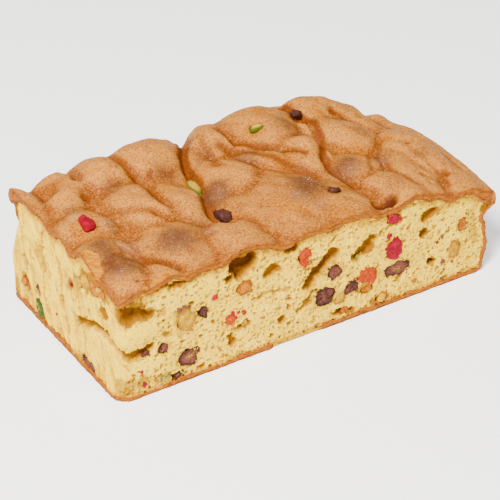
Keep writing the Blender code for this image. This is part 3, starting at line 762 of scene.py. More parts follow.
def new_material(name, roughness, specular):
    material = bpy.data.materials.new(name)
    material.use_nodes = True
    wiring = Wiring(material.node_tree)
    shader = material.node_tree.nodes["Principled BSDF"]
    wiring.feed(shader, {"Roughness": roughness, "Specular IOR Level": specular})
    return material, wiring, shader


def let_light_in(wiring, shader, weight, scale, radius):
    """Lets light spread a little under the surface, as in moist food."""
    wiring.feed(shader, {
        "Subsurface Weight": weight, "Subsurface Radius": radius, "Subsurface Scale": scale})


def grain_group():
    """Fine baked grain, shared by crumb and crust: masks of its dark and light specks, and its relief."""
    found = bpy.data.node_groups.get("baked grain")
    if found:
        return found
    wiring, start, end = new_tree(
        "baked grain", "ShaderNodeTree", {"Vector": ("Vector", None), "Scale": ("Float", 1300.0)},
        {"Dark": "Float", "Light": "Float", "Height": "Float"})
    coarse = wiring.noise(start["Vector"], start["Scale"], 4.0, 0.7)
    fine = wiring.noise(start["Vector"], wiring.times(start["Scale"], 2.3), 3.0, 0.7)
    specks = wiring.plus(wiring.times(coarse, 0.6), wiring.times(fine, 0.4))
    wiring.feed(end, {
        "Dark": wiring.ramp(specks, 0.51, 0.42), "Light": wiring.ramp(specks, 0.51, 0.60), "Height": specks})
    return wiring.tree


def grained(wiring, shader, place, scale, strength, distance):
    """Adds the grain's relief to a finish, and gives back its masks."""
    grain = wiring.add("ShaderNodeGroup", {"Vector": place, "Scale": scale}, node_tree=grain_group())
    wiring.bump(shader, grain.outputs["Height"], strength, distance)
    return grain.outputs["Dark"], grain.outputs["Light"]


def crumb_finish(settings):
    material, wiring, shader = new_material("airy crumb", 0.85, 0.03)
    place = wiring.place()
    dark, light = grained(wiring, shader, place, 1150.0, 0.6, 0.0005)
    pit = wiring.field("pit")
    ragged = wiring.sway(place, 480.0, 3.0, 0.65, 0.2, 0.8, -0.35, 0.35)

    def stain(field, most):
        value = wiring.field(field)
        return wiring.ramp(wiring.plus(value, wiring.times(ragged, value)), 0.12, 0.75, 0.0, most)

    # the rusty stain grows with pit depth: partly the stain, partly painted shade in the holes
    deep = wiring.times(wiring.field("rust"), wiring.ramp(pit, 0.6, 5.5, 0.35, 1.0))
    colour = wiring.layers(
        settings.colour,
        (wiring.ramp(wiring.noise(place, 95.0, 3.0, 0.6), 0.38, 0.66), settings.pale),
        (wiring.times(light, 0.55), settings.pale),
        (wiring.times(dark, 0.50), settings.golden),
        (wiring.field("moist", 0.6), (0.82, 0.56, 0.010)),
        # darker gold near the crust and the base: partly painted shade under the crust's overhang
        (wiring.field("near_crust", 0.9), wiring.mix(dark, (0.47, 0.225, 0.0), (0.27, 0.10, 0.0))),
        # painted shade: pores and holes tint golden, then amber, then near-black brown the deeper they go
        (wiring.ramp(pit, 0.10, 0.95, 0.0, 0.85), settings.golden),
        (wiring.ramp(pit, 1.1, 3.2, 0.0, 0.9), settings.amber),
        (stain("amber", 0.95), settings.amber),
        (stain("red", 0.8), (0.40, 0.05, 0.012)),
        (wiring.times(deep, wiring.ramp(ragged, -0.3, 0.3, 0.6, 1.0)), settings.rust),
        # painted shade on the floors of the deepest holes
        (wiring.ramp(pit, 3.6, 7.0, 0.0, 0.75), settings.rust),
    )
    wiring.feed(shader, {"Base Color": colour})
    let_light_in(wiring, shader, 0.08, 0.0012, (1.0, 0.55, 0.2))
    return material


def crust_finish(settings):
    material, wiring, shader = new_material("folded crust", 0.6, 0.05)
    place = wiring.place()
    dark, light = grained(wiring, shader, place, 1000.0, 0.55, 0.0005)
    patches = wiring.noise(place, 70.0, 3.0, 0.6)
    blotches = wiring.noise(place, 190.0, 3.0, 0.6)
    streaks = wiring.noise(wiring.vector("MULTIPLY", place, (0.4, 0.4, 2.2)), 900.0, 3.0, 0.7)
    # valley colour: random dark blotches, and painted shade in the fold valleys
    valley = (0.205, 0.05, 0.003)
    # painted sheen: strong on the open crust, weak in the creases
    shine = wiring.ramp(wiring.field("crease"), 0.0, 1.0, 0.6, 0.25)
    side = wiring.mix(wiring.ramp(patches, 0.35, 0.65), (0.29, 0.085, 0.008), (0.42, 0.16, 0.018))
    edge = wiring.mix(wiring.ramp(streaks, 0.36, 0.54), settings.edge, (0.30, 0.082, 0.0))
    bare = wiring.plus(wiring.field("bare"), wiring.times(streaks, 0.5))
    moist = wiring.mix(wiring.ramp(streaks, 0.40, 0.62), (0.30, 0.085, 0.0), (0.42, 0.17, 0.0))
    colour = wiring.layers(
        settings.colour,
        (wiring.ramp(patches, 0.32, 0.68, 0.0, 0.5), settings.crest),
        # painted highlight: the tops of the folds lighter
        (wiring.field("crest"), settings.crest),
        # painted shade: the valleys between the folds darker
        (wiring.field("valley"), valley),
        (wiring.ramp(blotches, 0.54, 0.75, 0.0, 0.32), valley),
        (wiring.ramp(blotches, 0.48, 0.28, 0.0, 0.5), settings.crest),
        (wiring.field("orange", 0.75), settings.orange),
        # painted shade in the creases and pits
        (wiring.field("crease"), settings.crease),
        (wiring.field("raisin", 0.75), settings.bump),
        (wiring.times(dark, 0.75), (0.135, 0.032, 0.003)),
        # the grain's light specks as painted sheen
        (wiring.times(light, shine), (0.50, 0.23, 0.045)),
        # pale patches: partly sugar, partly painted sheen on the raisin bumps
        (wiring.field("sugar", 0.22), (0.36, 0.17, 0.09)),
        # painted shade: the deepest sunken pits near black
        (wiring.field("hole", 0.92), (0.055, 0.010, 0.002)),
        (wiring.times(wiring.field("raisin"), wiring.ramp(blotches, 0.3, 0.6, 0.35, 0.72)), settings.bump),
        (wiring.field("baked"), wiring.mix(wiring.times(dark, 0.4), side, (0.15, 0.035, 0.004))),
        (wiring.ramp(bare, 0.62, 0.85), moist),
        # the cut edge, darker where under is strong: partly dark crust, partly painted shade and painted
        # contact shadow
        (wiring.field("torn"), wiring.mix(wiring.field("under"), edge, (0.075, 0.018, 0.003))),
    )
    rough = wiring.ramp(wiring.plus(dark, patches), 0.3, 1.4, 0.42, 0.68, smooth=False)
    wiring.feed(shader, {"Base Color": colour, "Roughness": rough})
    let_light_in(wiring, shader, 0.04, 0.001, (1.0, 0.4, 0.15))
    return material


# For each kind of fruit: light flesh, deep flesh, skin, roughness, how far light spreads.
FRUIT_LOOKS = {
    "cherry": ((0.26, 0.003, 0.016), (0.17, 0.000, 0.008), (0.18, 0.001, 0.008), 0.20, 0.02),
    "papaya": ((0.42, 0.060, 0.003), (0.28, 0.022, 0.001), (0.30, 0.030, 0.001), 0.30, 0.02),
    "raisin": ((0.135, 0.042, 0.026), (0.055, 0.018, 0.013), (0.030, 0.010, 0.008), 0.34, 0.02),
    "lemon_peel": ((0.46, 0.245, 0.0), (0.31, 0.145, 0.0), (0.23, 0.085, 0.0), 0.28, 0.02),
    "orange_peel": ((0.38, 0.125, 0.0), (0.25, 0.060, 0.0), (0.19, 0.042, 0.0), 0.30, 0.02),
    "angelica": ((0.34, 0.215, 0.020), (0.030, 0.058, 0.005), (0.022, 0.046, 0.004), 0.30, 0.02),
}


def flesh_group():
    """Mottled candied flesh that darkens towards its skin, shared by every kind of fruit."""
    found = bpy.data.node_groups.get("candied flesh")
    if found:
        return found
    colours = {label: ("Color", None) for label in ("Light", "Deep", "Skin", "Crumb")}
    sizes = {label: ("Float", 0.0) for label in ("Scale", "Tone", "Rim", "Crumbed")}
    wiring, start, end = new_tree(
        "candied flesh", "ShaderNodeTree", colours | sizes, {"Colour": "Color", "Height": "Float"})
    place = wiring.place()
    mottle = wiring.noise(place, start["Scale"], 3.0, 0.6)
    grain = wiring.noise(place, wiring.times(start["Scale"], 4.0), 3.0, 0.7)
    shifted = wiring.plus(mottle, wiring.times(start["Tone"], 0.3))
    bits = wiring.plus(start["Crumbed"], wiring.times(grain, 0.6))
    colour = wiring.layers(
        start["Deep"],
        (wiring.ramp(shifted, 0.55, 0.74), start["Light"]),
        (wiring.ramp(grain, 0.52, 0.72, 0.0, 0.5), start["Deep"]),
        (wiring.ramp(start["Rim"], 0.5, 0.95, 0.0, 0.85), start["Skin"]),
        (wiring.ramp(bits, 0.62, 0.8), start["Crumb"]),
    )
    wiring.feed(end, {"Colour": colour, "Height": grain})
    return wiring.tree


def fruit_finish(kind):
    name = kind.replace("_", " ") + " flesh"
    found = bpy.data.materials.get(name)
    if found:
        return found
    light, deep, skin, roughness, spread = FRUIT_LOOKS[kind]
    material, wiring, shader = new_material(name, roughness, 0.04)
    colours = {"Light": light, "Deep": deep, "Skin": skin, "Crumb": (0.66, 0.40, 0.010)}
    feeds = {label: (*value, 1.0) for label, value in colours.items()} | {"Scale": 420.0}
    feeds |= {field.capitalize(): wiring.field(field) for field in ("tone", "rim", "crumbed")}
    flesh = wiring.add("ShaderNodeGroup", feeds, node_tree=flesh_group())
    wiring.feed(shader, {"Base Color": flesh.outputs["Colour"]})
    wiring.bump(shader, flesh.outputs["Height"], 0.4, 0.0004)
    let_light_in(wiring, shader, spread, 0.0015, (1.0, 0.35, 0.15))
    return material


def plain_grain_finish(name, colour, other, roughness):
    """A simple two-tone grain for crumbs and sugar."""
    material, wiring, shader = new_material(name, roughness, 0.05)
    place = wiring.place()
    dark, _ = grained(wiring, shader, place, 1500.0, 0.4, 0.0003)
    tone = wiring.ramp(wiring.noise(place, 380.0, 2.0, 0.5), 0.35, 0.65)
    mixed = wiring.layers(colour, (tone, other), (wiring.times(dark, 0.4), other))
    wiring.feed(shader, {"Base Color": mixed})
    return material


# --- crumb -------------------------------------------------------------------------------------------


def bent(s, z):
    """Places on the cut faces, wavered so that what is drawn there gets a torn outline."""

    def wavers(*waves):
        return sum(reach * wander(s, z, size, seed) for reach, size, seed in waves)

    return (
        s + wavers((0.8, 5.0, 2.0), (0.45, 2.1, 7.0), (0.2, 1.1, 3.0)),
        z + wavers((0.8, 5.5, 5.0), (0.45, 2.3, 9.0), (0.2, 1.2, 1.0)),
    )


def reach_of(s, z, middle_s, middle_z, half_width, half_height, turn=0.0):
    """How far out a place lies in an oval, 1 on its edge."""
    along, across = turned(s, z, middle_s, middle_z, turn)
    return np.hypot(along / half_width, across / half_height)


def hollow_depth(s, z):
    """Depth of the named air holes and tears at a place on the cut faces."""
    bent_s, bent_z = bent(s, z)
    depth = np.zeros_like(s)
    for *oval, deep in AIR_HOLES:
        depth = np.maximum(depth, HOLLOW_SHARE * deep * ease((1.08 - reach_of(bent_s, bent_z, *oval)) / 0.42))
    for points, half_width, deep in TEARS:
        away = distance_to_line(bent_s, bent_z, points)
        depth = np.maximum(depth, HOLLOW_SHARE * deep * ease((1.6 - away / half_width) / 0.9))
    return depth


def stains(s, z):
    """How amber, how rusty and how red the crumb is at a place on the cut faces."""
    bent_s, bent_z = bent(s, z)
    amounts = np.zeros((3, *s.shape))
    for *oval, amber, rust, red in STAINS:
        inside = ease((1.25 - reach_of(bent_s, bent_z, *oval)) / 0.7)
        amounts = np.maximum(amounts, np.array((amber, rust, red))[:, None] * inside)
    return amounts


@cache
def fruit_facings():
    """Which face each fruit opens on, from where its box touches the block."""
    block_low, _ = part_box("cake")
    facings = {}
    for name in frame["nodes"]:
        if name == "cake":
            continue
        low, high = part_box(name)
        below_top = high.z < MEAN_HEIGHT * MM
        if below_top and low.y < block_low.y + FRONT_REACH * MM:
            facings[name] = "front"
        elif below_top and low.x < block_low.x + LEFT_REACH * MM:
            facings[name] = "left"
        else:
            facings[name] = "top"
    return facings


@cache
def box_on_block(name):
    """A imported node's middle and half sizes in millimetres from the cut corner."""
    low, high = (np.array(corner) / MM - CUT_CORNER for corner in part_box(name))
    return (low + high) / 2, (high - low) / 2


def fruit_reach(s, z):
    """How far out a place on the cuts lies from the nearest cut fruit, 1 on its torn edge."""
    bent_s, bent_z = s + 0.5 * wander(s, z, 3.0, 2.0), z + 0.5 * wander(s, z, 3.3, 5.0)
    nearest = np.full_like(s, 9.0)
    for name, facing in fruit_facings().items():
        middle, half = box_on_block(name)
        if facing == "front":
            oval = (middle[0], middle[2], half[0], half[2])
        elif facing == "left":
            oval = (-middle[1], middle[2], half[1], half[2])
        else:
            continue
        nearest = np.minimum(nearest, reach_of(bent_s, bent_z, *oval))
    return nearest


def crumb_tree(material):
    wiring, start, end = geometry_tree("crumb pores", {
        "Pore size": 0.0016, "Pore depth": 0.0008, "Bubble size": 0.0048, "Bubble depth": 0.002})
    position = wiring.position()
    side, edge, hollow, moist = (wiring.named(field) for field in ("side", "edge", "hollow", "moist"))
    inward = wiring.named("inward", "FLOAT_VECTOR")
    # on the left cut the knife dragged the pores into slanting streaks
    z = wiring.add("ShaderNodeSeparateXYZ", {0: position}).outputs[2]
    lean = wiring.add("ShaderNodeCombineXYZ", {1: wiring.times(z, -0.5), 2: wiring.times(z, -0.65)})
    leaning = wiring.vector("ADD", position, wiring.scaled(lean.outputs[0], side))
    place = wiring.vector("ADD", leaning, wiring.jitter(leaning, 450.0, 0.0011))

    def pits(size, depth, smallest, largest, rare):
        away, chance = wiring.cells(place, wiring.math("DIVIDE", 1.0, size))
        radius = wiring.ramp(chance, rare, 1.0, smallest, largest, smooth=False)
        return wiring.times(wiring.ramp(wiring.math("SUBTRACT", radius, away), 0.0, 0.14), depth)

    size, depth = start["Pore size"], start["Pore depth"]
    fine = pits(size, depth, 0.10, 0.56, 0.0)
    middle = pits(wiring.times(size, 1.7), wiring.times(depth, 1.5), -0.1, 0.5, 0.3)
    large = pits(start["Bubble size"], start["Bubble depth"], -0.1, 0.40, 0.6)
    porous = wiring.math("MAXIMUM", wiring.math("MAXIMUM", fine, middle), large)
    tearing = wiring.sway(place, 600.0, 4.0, 0.7, 0.3, 0.72, -0.00035, 0.0006)
    dragged = wiring.sway(leaning, 190.0, 3.0, 0.6, 0.3, 0.72, -0.0008, 0.0010)
    tearing = wiring.plus(tearing, wiring.times(dragged, side))
    swell = wiring.sway(position, 70.0, 2.0, 0.5, start=-0.0006, end=0.0006)
    smooth_film = wiring.ramp(wiring.math("MAXIMUM", hollow, wiring.times(moist, 2.0)), 0.4, 2.4, 1.0, 0.35)
    relief = wiring.times(wiring.plus(porous, tearing), smooth_film)
    sunk = wiring.times(hollow, MM)
    pit = wiring.times(wiring.times(wiring.plus(relief, sunk), 1.0 / MM), edge)
    total = wiring.plus(wiring.times(wiring.plus(relief, swell), edge), sunk)
    feeds = {"Geometry": start["Geometry"], "Name": "pit", "Value": pit}
    kept = wiring.add("GeometryNodeStoreNamedAttribute", feeds, data_type="FLOAT", domain="POINT").outputs[0]
    return finish_tree(wiring, wiring.moved(kept, wiring.scaled(inward, total)), material, end)


def cut_columns(spacing):
    """Columns along the cuts from the back left, round their corner, to the right end: u, v and s."""
    left_steps, front_steps = round(WIDTH / spacing), round(LENGTH / spacing)
    u = np.concatenate((np.zeros(left_steps), np.linspace(0.0, 1.0, front_steps + 1)))
    v = np.concatenate((np.linspace(1.0, 0.0, left_steps + 1)[:-1], np.zeros(front_steps + 1)))
    return u, v, np.where(u > 0.0, u * LENGTH, -v * WIDTH)


def crumb_ring(u, v, s, rim, level):
    """The cut skin at one level: its points, and its fields there."""
    x, y = plan_point(u, v, min(level, CUT_LEVEL_CAP), inset=0.7)
    z = FOOT_HEIGHT + level * (rim - FOOT_HEIGHT)
    bulge = np.zeros_like(s)
    for *oval, rise in BULGES:
        bulge += rise * np.exp(-(reach_of(s, z, *oval) ** 3))
    under_crust = rim - z
    notch = 1.1 * ease((2.9 - under_crust) / 0.7) * ease(0.5 + 0.8 * wander(s, 0.0, 13.0, 5.0))
    reach = fruit_reach(s, z)
    seat = FRUIT_SEAT * ease((1.0 - reach) / 0.25)
    hollow = np.maximum(np.maximum(hollow_depth(s, z), seat), notch)
    fade = ease(z / 2.5) * ease(under_crust / 1.2) * ease((s + WIDTH) / 2.0) * ease((LENGTH - s) / 2.0)
    amber, rust, red = stains(s, z)
    ends = np.maximum(ease((s - LENGTH + 4.0) / 2.5), ease((4.0 - s - WIDTH) / 2.5))
    lip = ease((level - 0.78) / 0.08) * ends
    inward = way_inward(s)
    fields = {
        "hollow": hollow * ease(under_crust), "edge": fade, "moist": np.clip(bulge / 2.0, 0.0, 1.0),
        "near_crust": np.maximum(ease((7.4 - under_crust) / 4.2), ease((5.0 - z) / 2.4)),
        "side": 1.0 - front_share(s), "inward": inward, "red": red, "rust": np.maximum(rust, lip),
        "amber": np.maximum(amber, np.maximum(0.4 * ease((1.9 - reach) / 0.9), lip)),
        "loose": fade * (hollow < 0.4),
    }
    return np.stack((x, y, z), axis=1) - inward * (bulge * fade)[:, None], fields


def make_crumb(settings):
    """The two cut faces as one fine skin round their corner, closed behind by plain hidden walls."""
    spacing = settings.spacing / MM
    u, v, s = cut_columns(spacing)
    rim = top_height(*plan_point(u, v, 1.0)) - CRUMB_GAP
    hidden_u, hidden_v = np.array(HIDDEN_PLACES, float).T
    rings, fields = [], {}
    for level in np.linspace(0.0, 1.0, round(58.0 / spacing)):
        skin, values = crumb_ring(u, v, s, rim, level)
        x, y = plan_point(hidden_u, hidden_v, min(level, HIDDEN_LEVEL_CAP), inset=HIDDEN_INSET)
        inner = np.stack((x, y, np.full_like(x, FOOT_HEIGHT + level * HIDDEN_HEIGHT)), axis=1)
        rings.append(np.concatenate((skin, inner)))
        for name, value in values.items():
            hidden = np.zeros((len(inner), *value.shape[1:]))
            fields.setdefault(name, []).append(np.concatenate((value, hidden)))

    # the last rings drop and go in under the crust, and then dip, clear of every hollow
    sill, shelf, dip = (moved_inward(rings[-1], inset) for inset in (SILL_INWARD, SHELF_INWARD, DIP_INWARD))
    sill[:, 2] -= SILL_DOWN
    shelf[:, 2] = np.minimum(rings[-1][:, 2], top_height(shelf[:, 0], shelf[:, 1])) - SHELF_DOWN
    dip[:, 2] = HIDDEN_HEIGHT
    rings += [sill, shelf, dip]
    fields = {name: np.concatenate(values + [values[-1] * 0.0] * 3) for name, values in fields.items()}
    points, faces = closed_rings(rings)
    made = new_object("crumb", to_frame(points), faces, fields)
    run_tree(made, crumb_tree(crumb_finish(settings)), {
        "Pore size": settings.pore_size, "Pore depth": settings.pore_depth,
        "Bubble size": settings.bubble_size, "Bubble depth": settings.bubble_depth,
    })
    settle(made, "crumb", "cake")


# --- crust -------------------------------------------------------------------------------------------


def crust_tree(material):
    wiring, start, end = geometry_tree("crust grain", {"Soft": 0.00035, "Fine": 0.00012, "Raggedness": 0.001})
    position, torn, shown = wiring.position(), wiring.named("torn"), wiring.named("shown")
    lumps = wiring.sway(position, 130.0, 3.0, 0.55)
    grain = wiring.sway(position, 900.0, 3.0, 0.65)
    away, chance = wiring.cells(position, 330.0)
    radius = wiring.ramp(chance, 0.8, 1.0, -0.05, 0.28, smooth=False)
    pock = wiring.ramp(wiring.math("SUBTRACT", radius, away), 0.0, 0.15, 0.0, -2.5)
    fine = wiring.times(wiring.plus(grain, pock), start["Fine"])
    height = wiring.plus(wiring.times(lumps, start["Soft"]), fine)
    rag = wiring.jitter(position, 620.0, wiring.times(start["Raggedness"], torn))
    offset = wiring.scaled(wiring.vector("ADD", wiring.scaled(wiring.normal(), height), rag), shown)
    return finish_tree(wiring, wiring.moved(start["Geometry"], offset), material, end)


CRUST_FIELDS = (
    "crest", "valley", "crease", "raisin", "orange", "sugar", "bare", "hole",
    "torn", "under", "baked", "shown",
)


def finish_crust(name, points, faces, settings, soft, fine, raggedness, **given):
    """A piece of crust from its points and faces; fields that aren't given are nothing everywhere."""
    fields = {field: given.get(field, np.zeros(len(points))) for field in CRUST_FIELDS}
    made = new_object(name, to_frame(points), faces, fields)
    tree = bpy.data.node_groups.get("crust grain") or crust_tree(crust_finish(settings))
    run_tree(made, tree, {"Soft": soft, "Fine": fine, "Raggedness": raggedness})
    settle(made, "crust", "cake")


def blurred(grid, reach):
    """A grid averaged over a square of 2 reach + 1 cells each way."""
    for axis in (0, 1):
        pad = [(0, 0), (0, 0)]
        pad[axis] = (reach + 1, reach)
        sums = np.cumsum(np.pad(grid, pad, mode="edge"), axis=axis)
        ends = np.take(sums, range(2 * reach + 1, sums.shape[axis]), axis=axis)
        grid = (ends - np.take(sums, range(grid.shape[axis]), axis=axis)) / (2 * reach + 1)
    return grid


def lid_plan(u, v, level=1.0):
    """The lid's plan: a little proud of the cuts and most at their corner, with a torn edge."""
    x, y = plan_point(u, v, level, cut_radius=FLAP_RADIUS, proud=LID_PROUD)
    corner = 0.8 * np.exp(-(np.hypot(x, y) / 9.0) ** 2)
    torn_left = corner + 0.4 * wander(y, 0.0, 9.0, 3.0) + 0.28 * wander(y, 0.0, 3.1, 8.0)
    torn_front = corner + 0.4 * wander(x, 0.0, 8.0, 5.0) + 0.28 * wander(x, 0.0, 2.9, 1.0)
    near_left = np.exp(-(((x + LID_PROUD) / 3.0) ** 2))
    near_front = np.exp(-(((y + LID_PROUD) / 3.0) ** 2))
    return x - near_left * torn_left, y - near_front * torn_front


def top_fruit_pits():
    """A shallow pit round each fruit that breaks the top, deeper on its far side."""
    pits = []
    for name, facing in fruit_facings().items():
        if facing == "top":
            middle, half = box_on_block(name)
            pits.append((middle[0], middle[1] - 0.5, max(half[0], half[1]) * 0.95 + 0.9, 1.1))
    return pits


def make_top_crust(settings):
    """The folded top as a lid: its upper skin, a torn band along the cuts, and a lip over the baked sides."""
    steps_u = round((LENGTH + LIP) * MM / settings.spacing)
    steps_v = round(WIDTH * MM / settings.spacing)
    u, v = np.meshgrid(np.linspace(0, 1, steps_u + 1), np.linspace(0, 1, steps_v + 1), indexing="ij")
    x, y = lid_plan(u, v)
    pits = top_fruit_pits()
    z = top_height(x, y) - round_spots(x, y, pits)
    index = np.arange(x.size).reshape(x.shape)
    quads = np.stack((index[:-1, :-1], index[1:, :-1], index[1:, 1:], index[:-1, 1:]), axis=-1).reshape(-1, 4)

    # under the edge: the torn band on the cut sides, the lip's underside on the baked sides
    edge_u, edge_v = outline(steps_u, steps_v)
    edge = index[np.round(edge_u * steps_u).astype(int), np.round(edge_v * steps_v).astype(int)]
    rim_x, rim_y, rim = x.ravel()[edge], y.ravel()[edge], z.ravel()[edge]
    on_left = np.where(edge_u == 0.0, (1.0 - edge_v) * WIDTH, -1.0)
    on_cut = np.where(edge_v == 0.0, (1.0 - edge_u) * LENGTH, on_left)
    baked = ease(1.0 - on_cut / 4.0)
    band = settings.thickness / MM * (
        1.0 + 0.16 * wander(rim_x, rim_y, 17.0, 3.0) + 0.10 * wander(rim_x, rim_y, 5.0, 8.0))
    band = band * (1.0 + 1.5 * np.exp(-(((on_cut - 3.0) / 7.0) ** 2)))
    rings = []
    for share in np.arange(1, BAND_ROWS + 1) / BAND_ROWS:
        ring_x, ring_y = lid_plan(edge_u, edge_v, 1.0 - (1.0 - LIP_LEVEL) * share * baked)
        fall = (1.0 - baked) * band * share + baked * rim * (1.0 - LIP_LEVEL) * share
        rings.append(moved_inward(np.stack((ring_x, ring_y, rim - fall), axis=1), 0.5 * share**3))
    foot = rings[-1]
    for inset, fall in UNDER_LID:
        ring = moved_inward(foot, inset)
        ring[:, 2] = np.minimum(foot[:, 2], top_height(ring[:, 0], ring[:, 1]) - 1.5) - fall
        rings.append(ring)
    count, first = len(edge), x.size
    below, below_after = around(first, count)
    joins = np.stack((edge, below, below_after, np.roll(edge, -1)), axis=-1)
    sheet = np.stack((x, y, z), axis=-1).reshape(-1, 3)
    faces = quads.tolist() + joins.tolist() + ring_faces(first, count, len(rings)).tolist()
    faces.append([first + (len(rings) - 1) * count + i for i in range(count)][::-1])

    def on_sheet(values, *on_rings):
        """One field: its values on the upper skin, then one value or array for each ring below."""
        lower = list(on_rings) + [on_rings[-1] if on_rings else 0.0] * (len(rings) - len(on_rings))
        return np.concatenate([np.ravel(values + 0.0 * x)] + [np.zeros(count) + value for value in lower])

    per_mm = MM / settings.spacing
    reaches = (round(3.5 * per_mm), round(8.0 * per_mm))
    detail, broad = (z - blurred(blurred(z, reach), reach) for reach in reaches)
    relief = 0.65 * detail / 0.45 + 0.55 * broad / 1.4
    from_cut = np.minimum(x, y) + LID_PROUD
    # lighter towards the right back end: painted light, added to the crests' painted highlight and taken from
    # the valleys' painted shade
    pale_end = ease((x + 0.5 * y - 150.0) / 40.0)
    finish_crust(
        "top_crust", np.concatenate([sheet] + rings), faces, settings, 0.00030, 0.00012, 0.0011,
        # crest: painted highlight on the fold tops; valley: painted shade in the fold valleys
        crest=on_sheet(ease(relief + 0.9 * pale_end)), valley=on_sheet(ease(-relief - 0.5 * pale_end)),
        # painted shade along the creases and in the sunken pits
        crease=on_sheet(ease(crease_depth(x, y) / 2.4 + round_spots(x, y, CRUST_PITS) / 3.0)),
        raisin=on_sheet(np.clip(round_spots(x, y, RAISIN_BUMPS), 0, 1)),
        orange=on_sheet(np.clip(round_spots(x, y, ORANGE_SPOTS, 0.9) + round_spots(x, y, pits) * 0.6, 0, 1)),
        # pale patches: partly sugar, partly painted sheen on the raisin bumps
        sugar=on_sheet(np.clip(round_spots(x, y, SUGAR_SPOTS, 1.0), 0, 1)),
        torn=on_sheet(0.6 * ease(1.0 - from_cut / 0.8), *[1.0 - baked] * BAND_ROWS, 0.0),
        # painted shade in the deepest pits
        hole=on_sheet(ease((round_spots(x, y, CRUST_PITS) - 1.9) / 1.3)),
        bare=on_sheet(np.clip(round_spots(x, y, BARE_SPOTS, 1.2), 0, 1)),
        # under: darker near the band's top, and painted shade towards its lower edge and on the lid's
        # underside
        under=on_sheet(0.0, 0.5, 0.35, 0.0, 0.0, 0.0, 0.2, 0.55, 1.0),
        baked=on_sheet(0.8 * ease(1.0 - baked_edge_distance(x, y) / 6.0), baked),
        shown=on_sheet(1.0, *[1.0] * BAND_ROWS, 0.0),
    )


def make_side_crust(settings):
    """The baked right and back walls, a shell that ends at each cut in a thin torn edge."""
    right = np.linspace(0.0, 1.0, round(WIDTH / WALL_SPACING) + 1)
    back = np.linspace(1.0, 0.0, round(LENGTH / WALL_SPACING) + 1)[1:]
    u, v = np.concatenate((np.ones(len(right)), back)), np.concatenate((right, np.ones(len(back))))
    along = np.concatenate((right * WIDTH, WIDTH + (1.0 - back) * LENGTH))
    rim_x, rim_y = plan_point(u, v, 1.0)
    rim = top_height(rim_x, rim_y)
    rows = round(MEAN_HEIGHT / WALL_SPACING)
    at_front = np.exp(-((along / 2.0) ** 2))
    at_left = np.exp(-(((along[-1] - along) / 2.0) ** 2))
    outer, inner = [], []
    for level in np.linspace(0.0, WALL_TOP_LEVEL, rows):
        uneven = 1.0 + 0.5 * wander(level * 50.0, 0.0, 5.0, 2.0)
        thick = WALL_THICKNESS + CUT_EDGE_THICKENING * ease(1.0 - along / 12.0) * uneven
        for wall, inset in ((outer, -0.25 * wander(along, level * 60.0, 8.0, 6.0)), (inner, thick)):
            x, y = plan_point(u, v, level, inset=inset)
            wall.append(np.stack((x + 0.9 * at_left, y - 0.55 * at_front, level * rim), axis=1))
    ring = np.array(outer + inner[::-1]).transpose(1, 0, 2)
    count, columns = ring.shape[1], ring.shape[0]
    faces = ring_faces(0, count, columns)
    climb = np.arange(rows - 1)
    cap = np.stack((climb, climb + 1, count - 2 - climb, count - 1 - climb), axis=-1)
    faces = faces.tolist() + cap.tolist() + (cap[:, ::-1] + (columns - 1) * count).tolist()
    levels = np.tile(np.concatenate((np.linspace(0, 1, rows), np.linspace(1, 0, rows))), columns)
    torn = np.repeat(np.maximum(at_front, at_left), count)
    finish_crust(
        "side_crust", ring.reshape(-1, 3), faces, settings, 0.00040, 0.00016, 0.0012,
        # under: painted shadow at the foot of the cut edge
        torn=torn * 0.9, baked=1.0 - torn * 0.9, under=0.35 * ease(1.0 - levels / 0.04),
        shown=np.tile(np.concatenate((np.ones(rows), np.zeros(rows))), columns),
        # valley: darker towards the wall's top, into the hollow under the lip
        orange=0.6 * ease(1.0 - levels / 0.3), valley=0.8 * ease(levels * 3.0 - 2.0),
    )


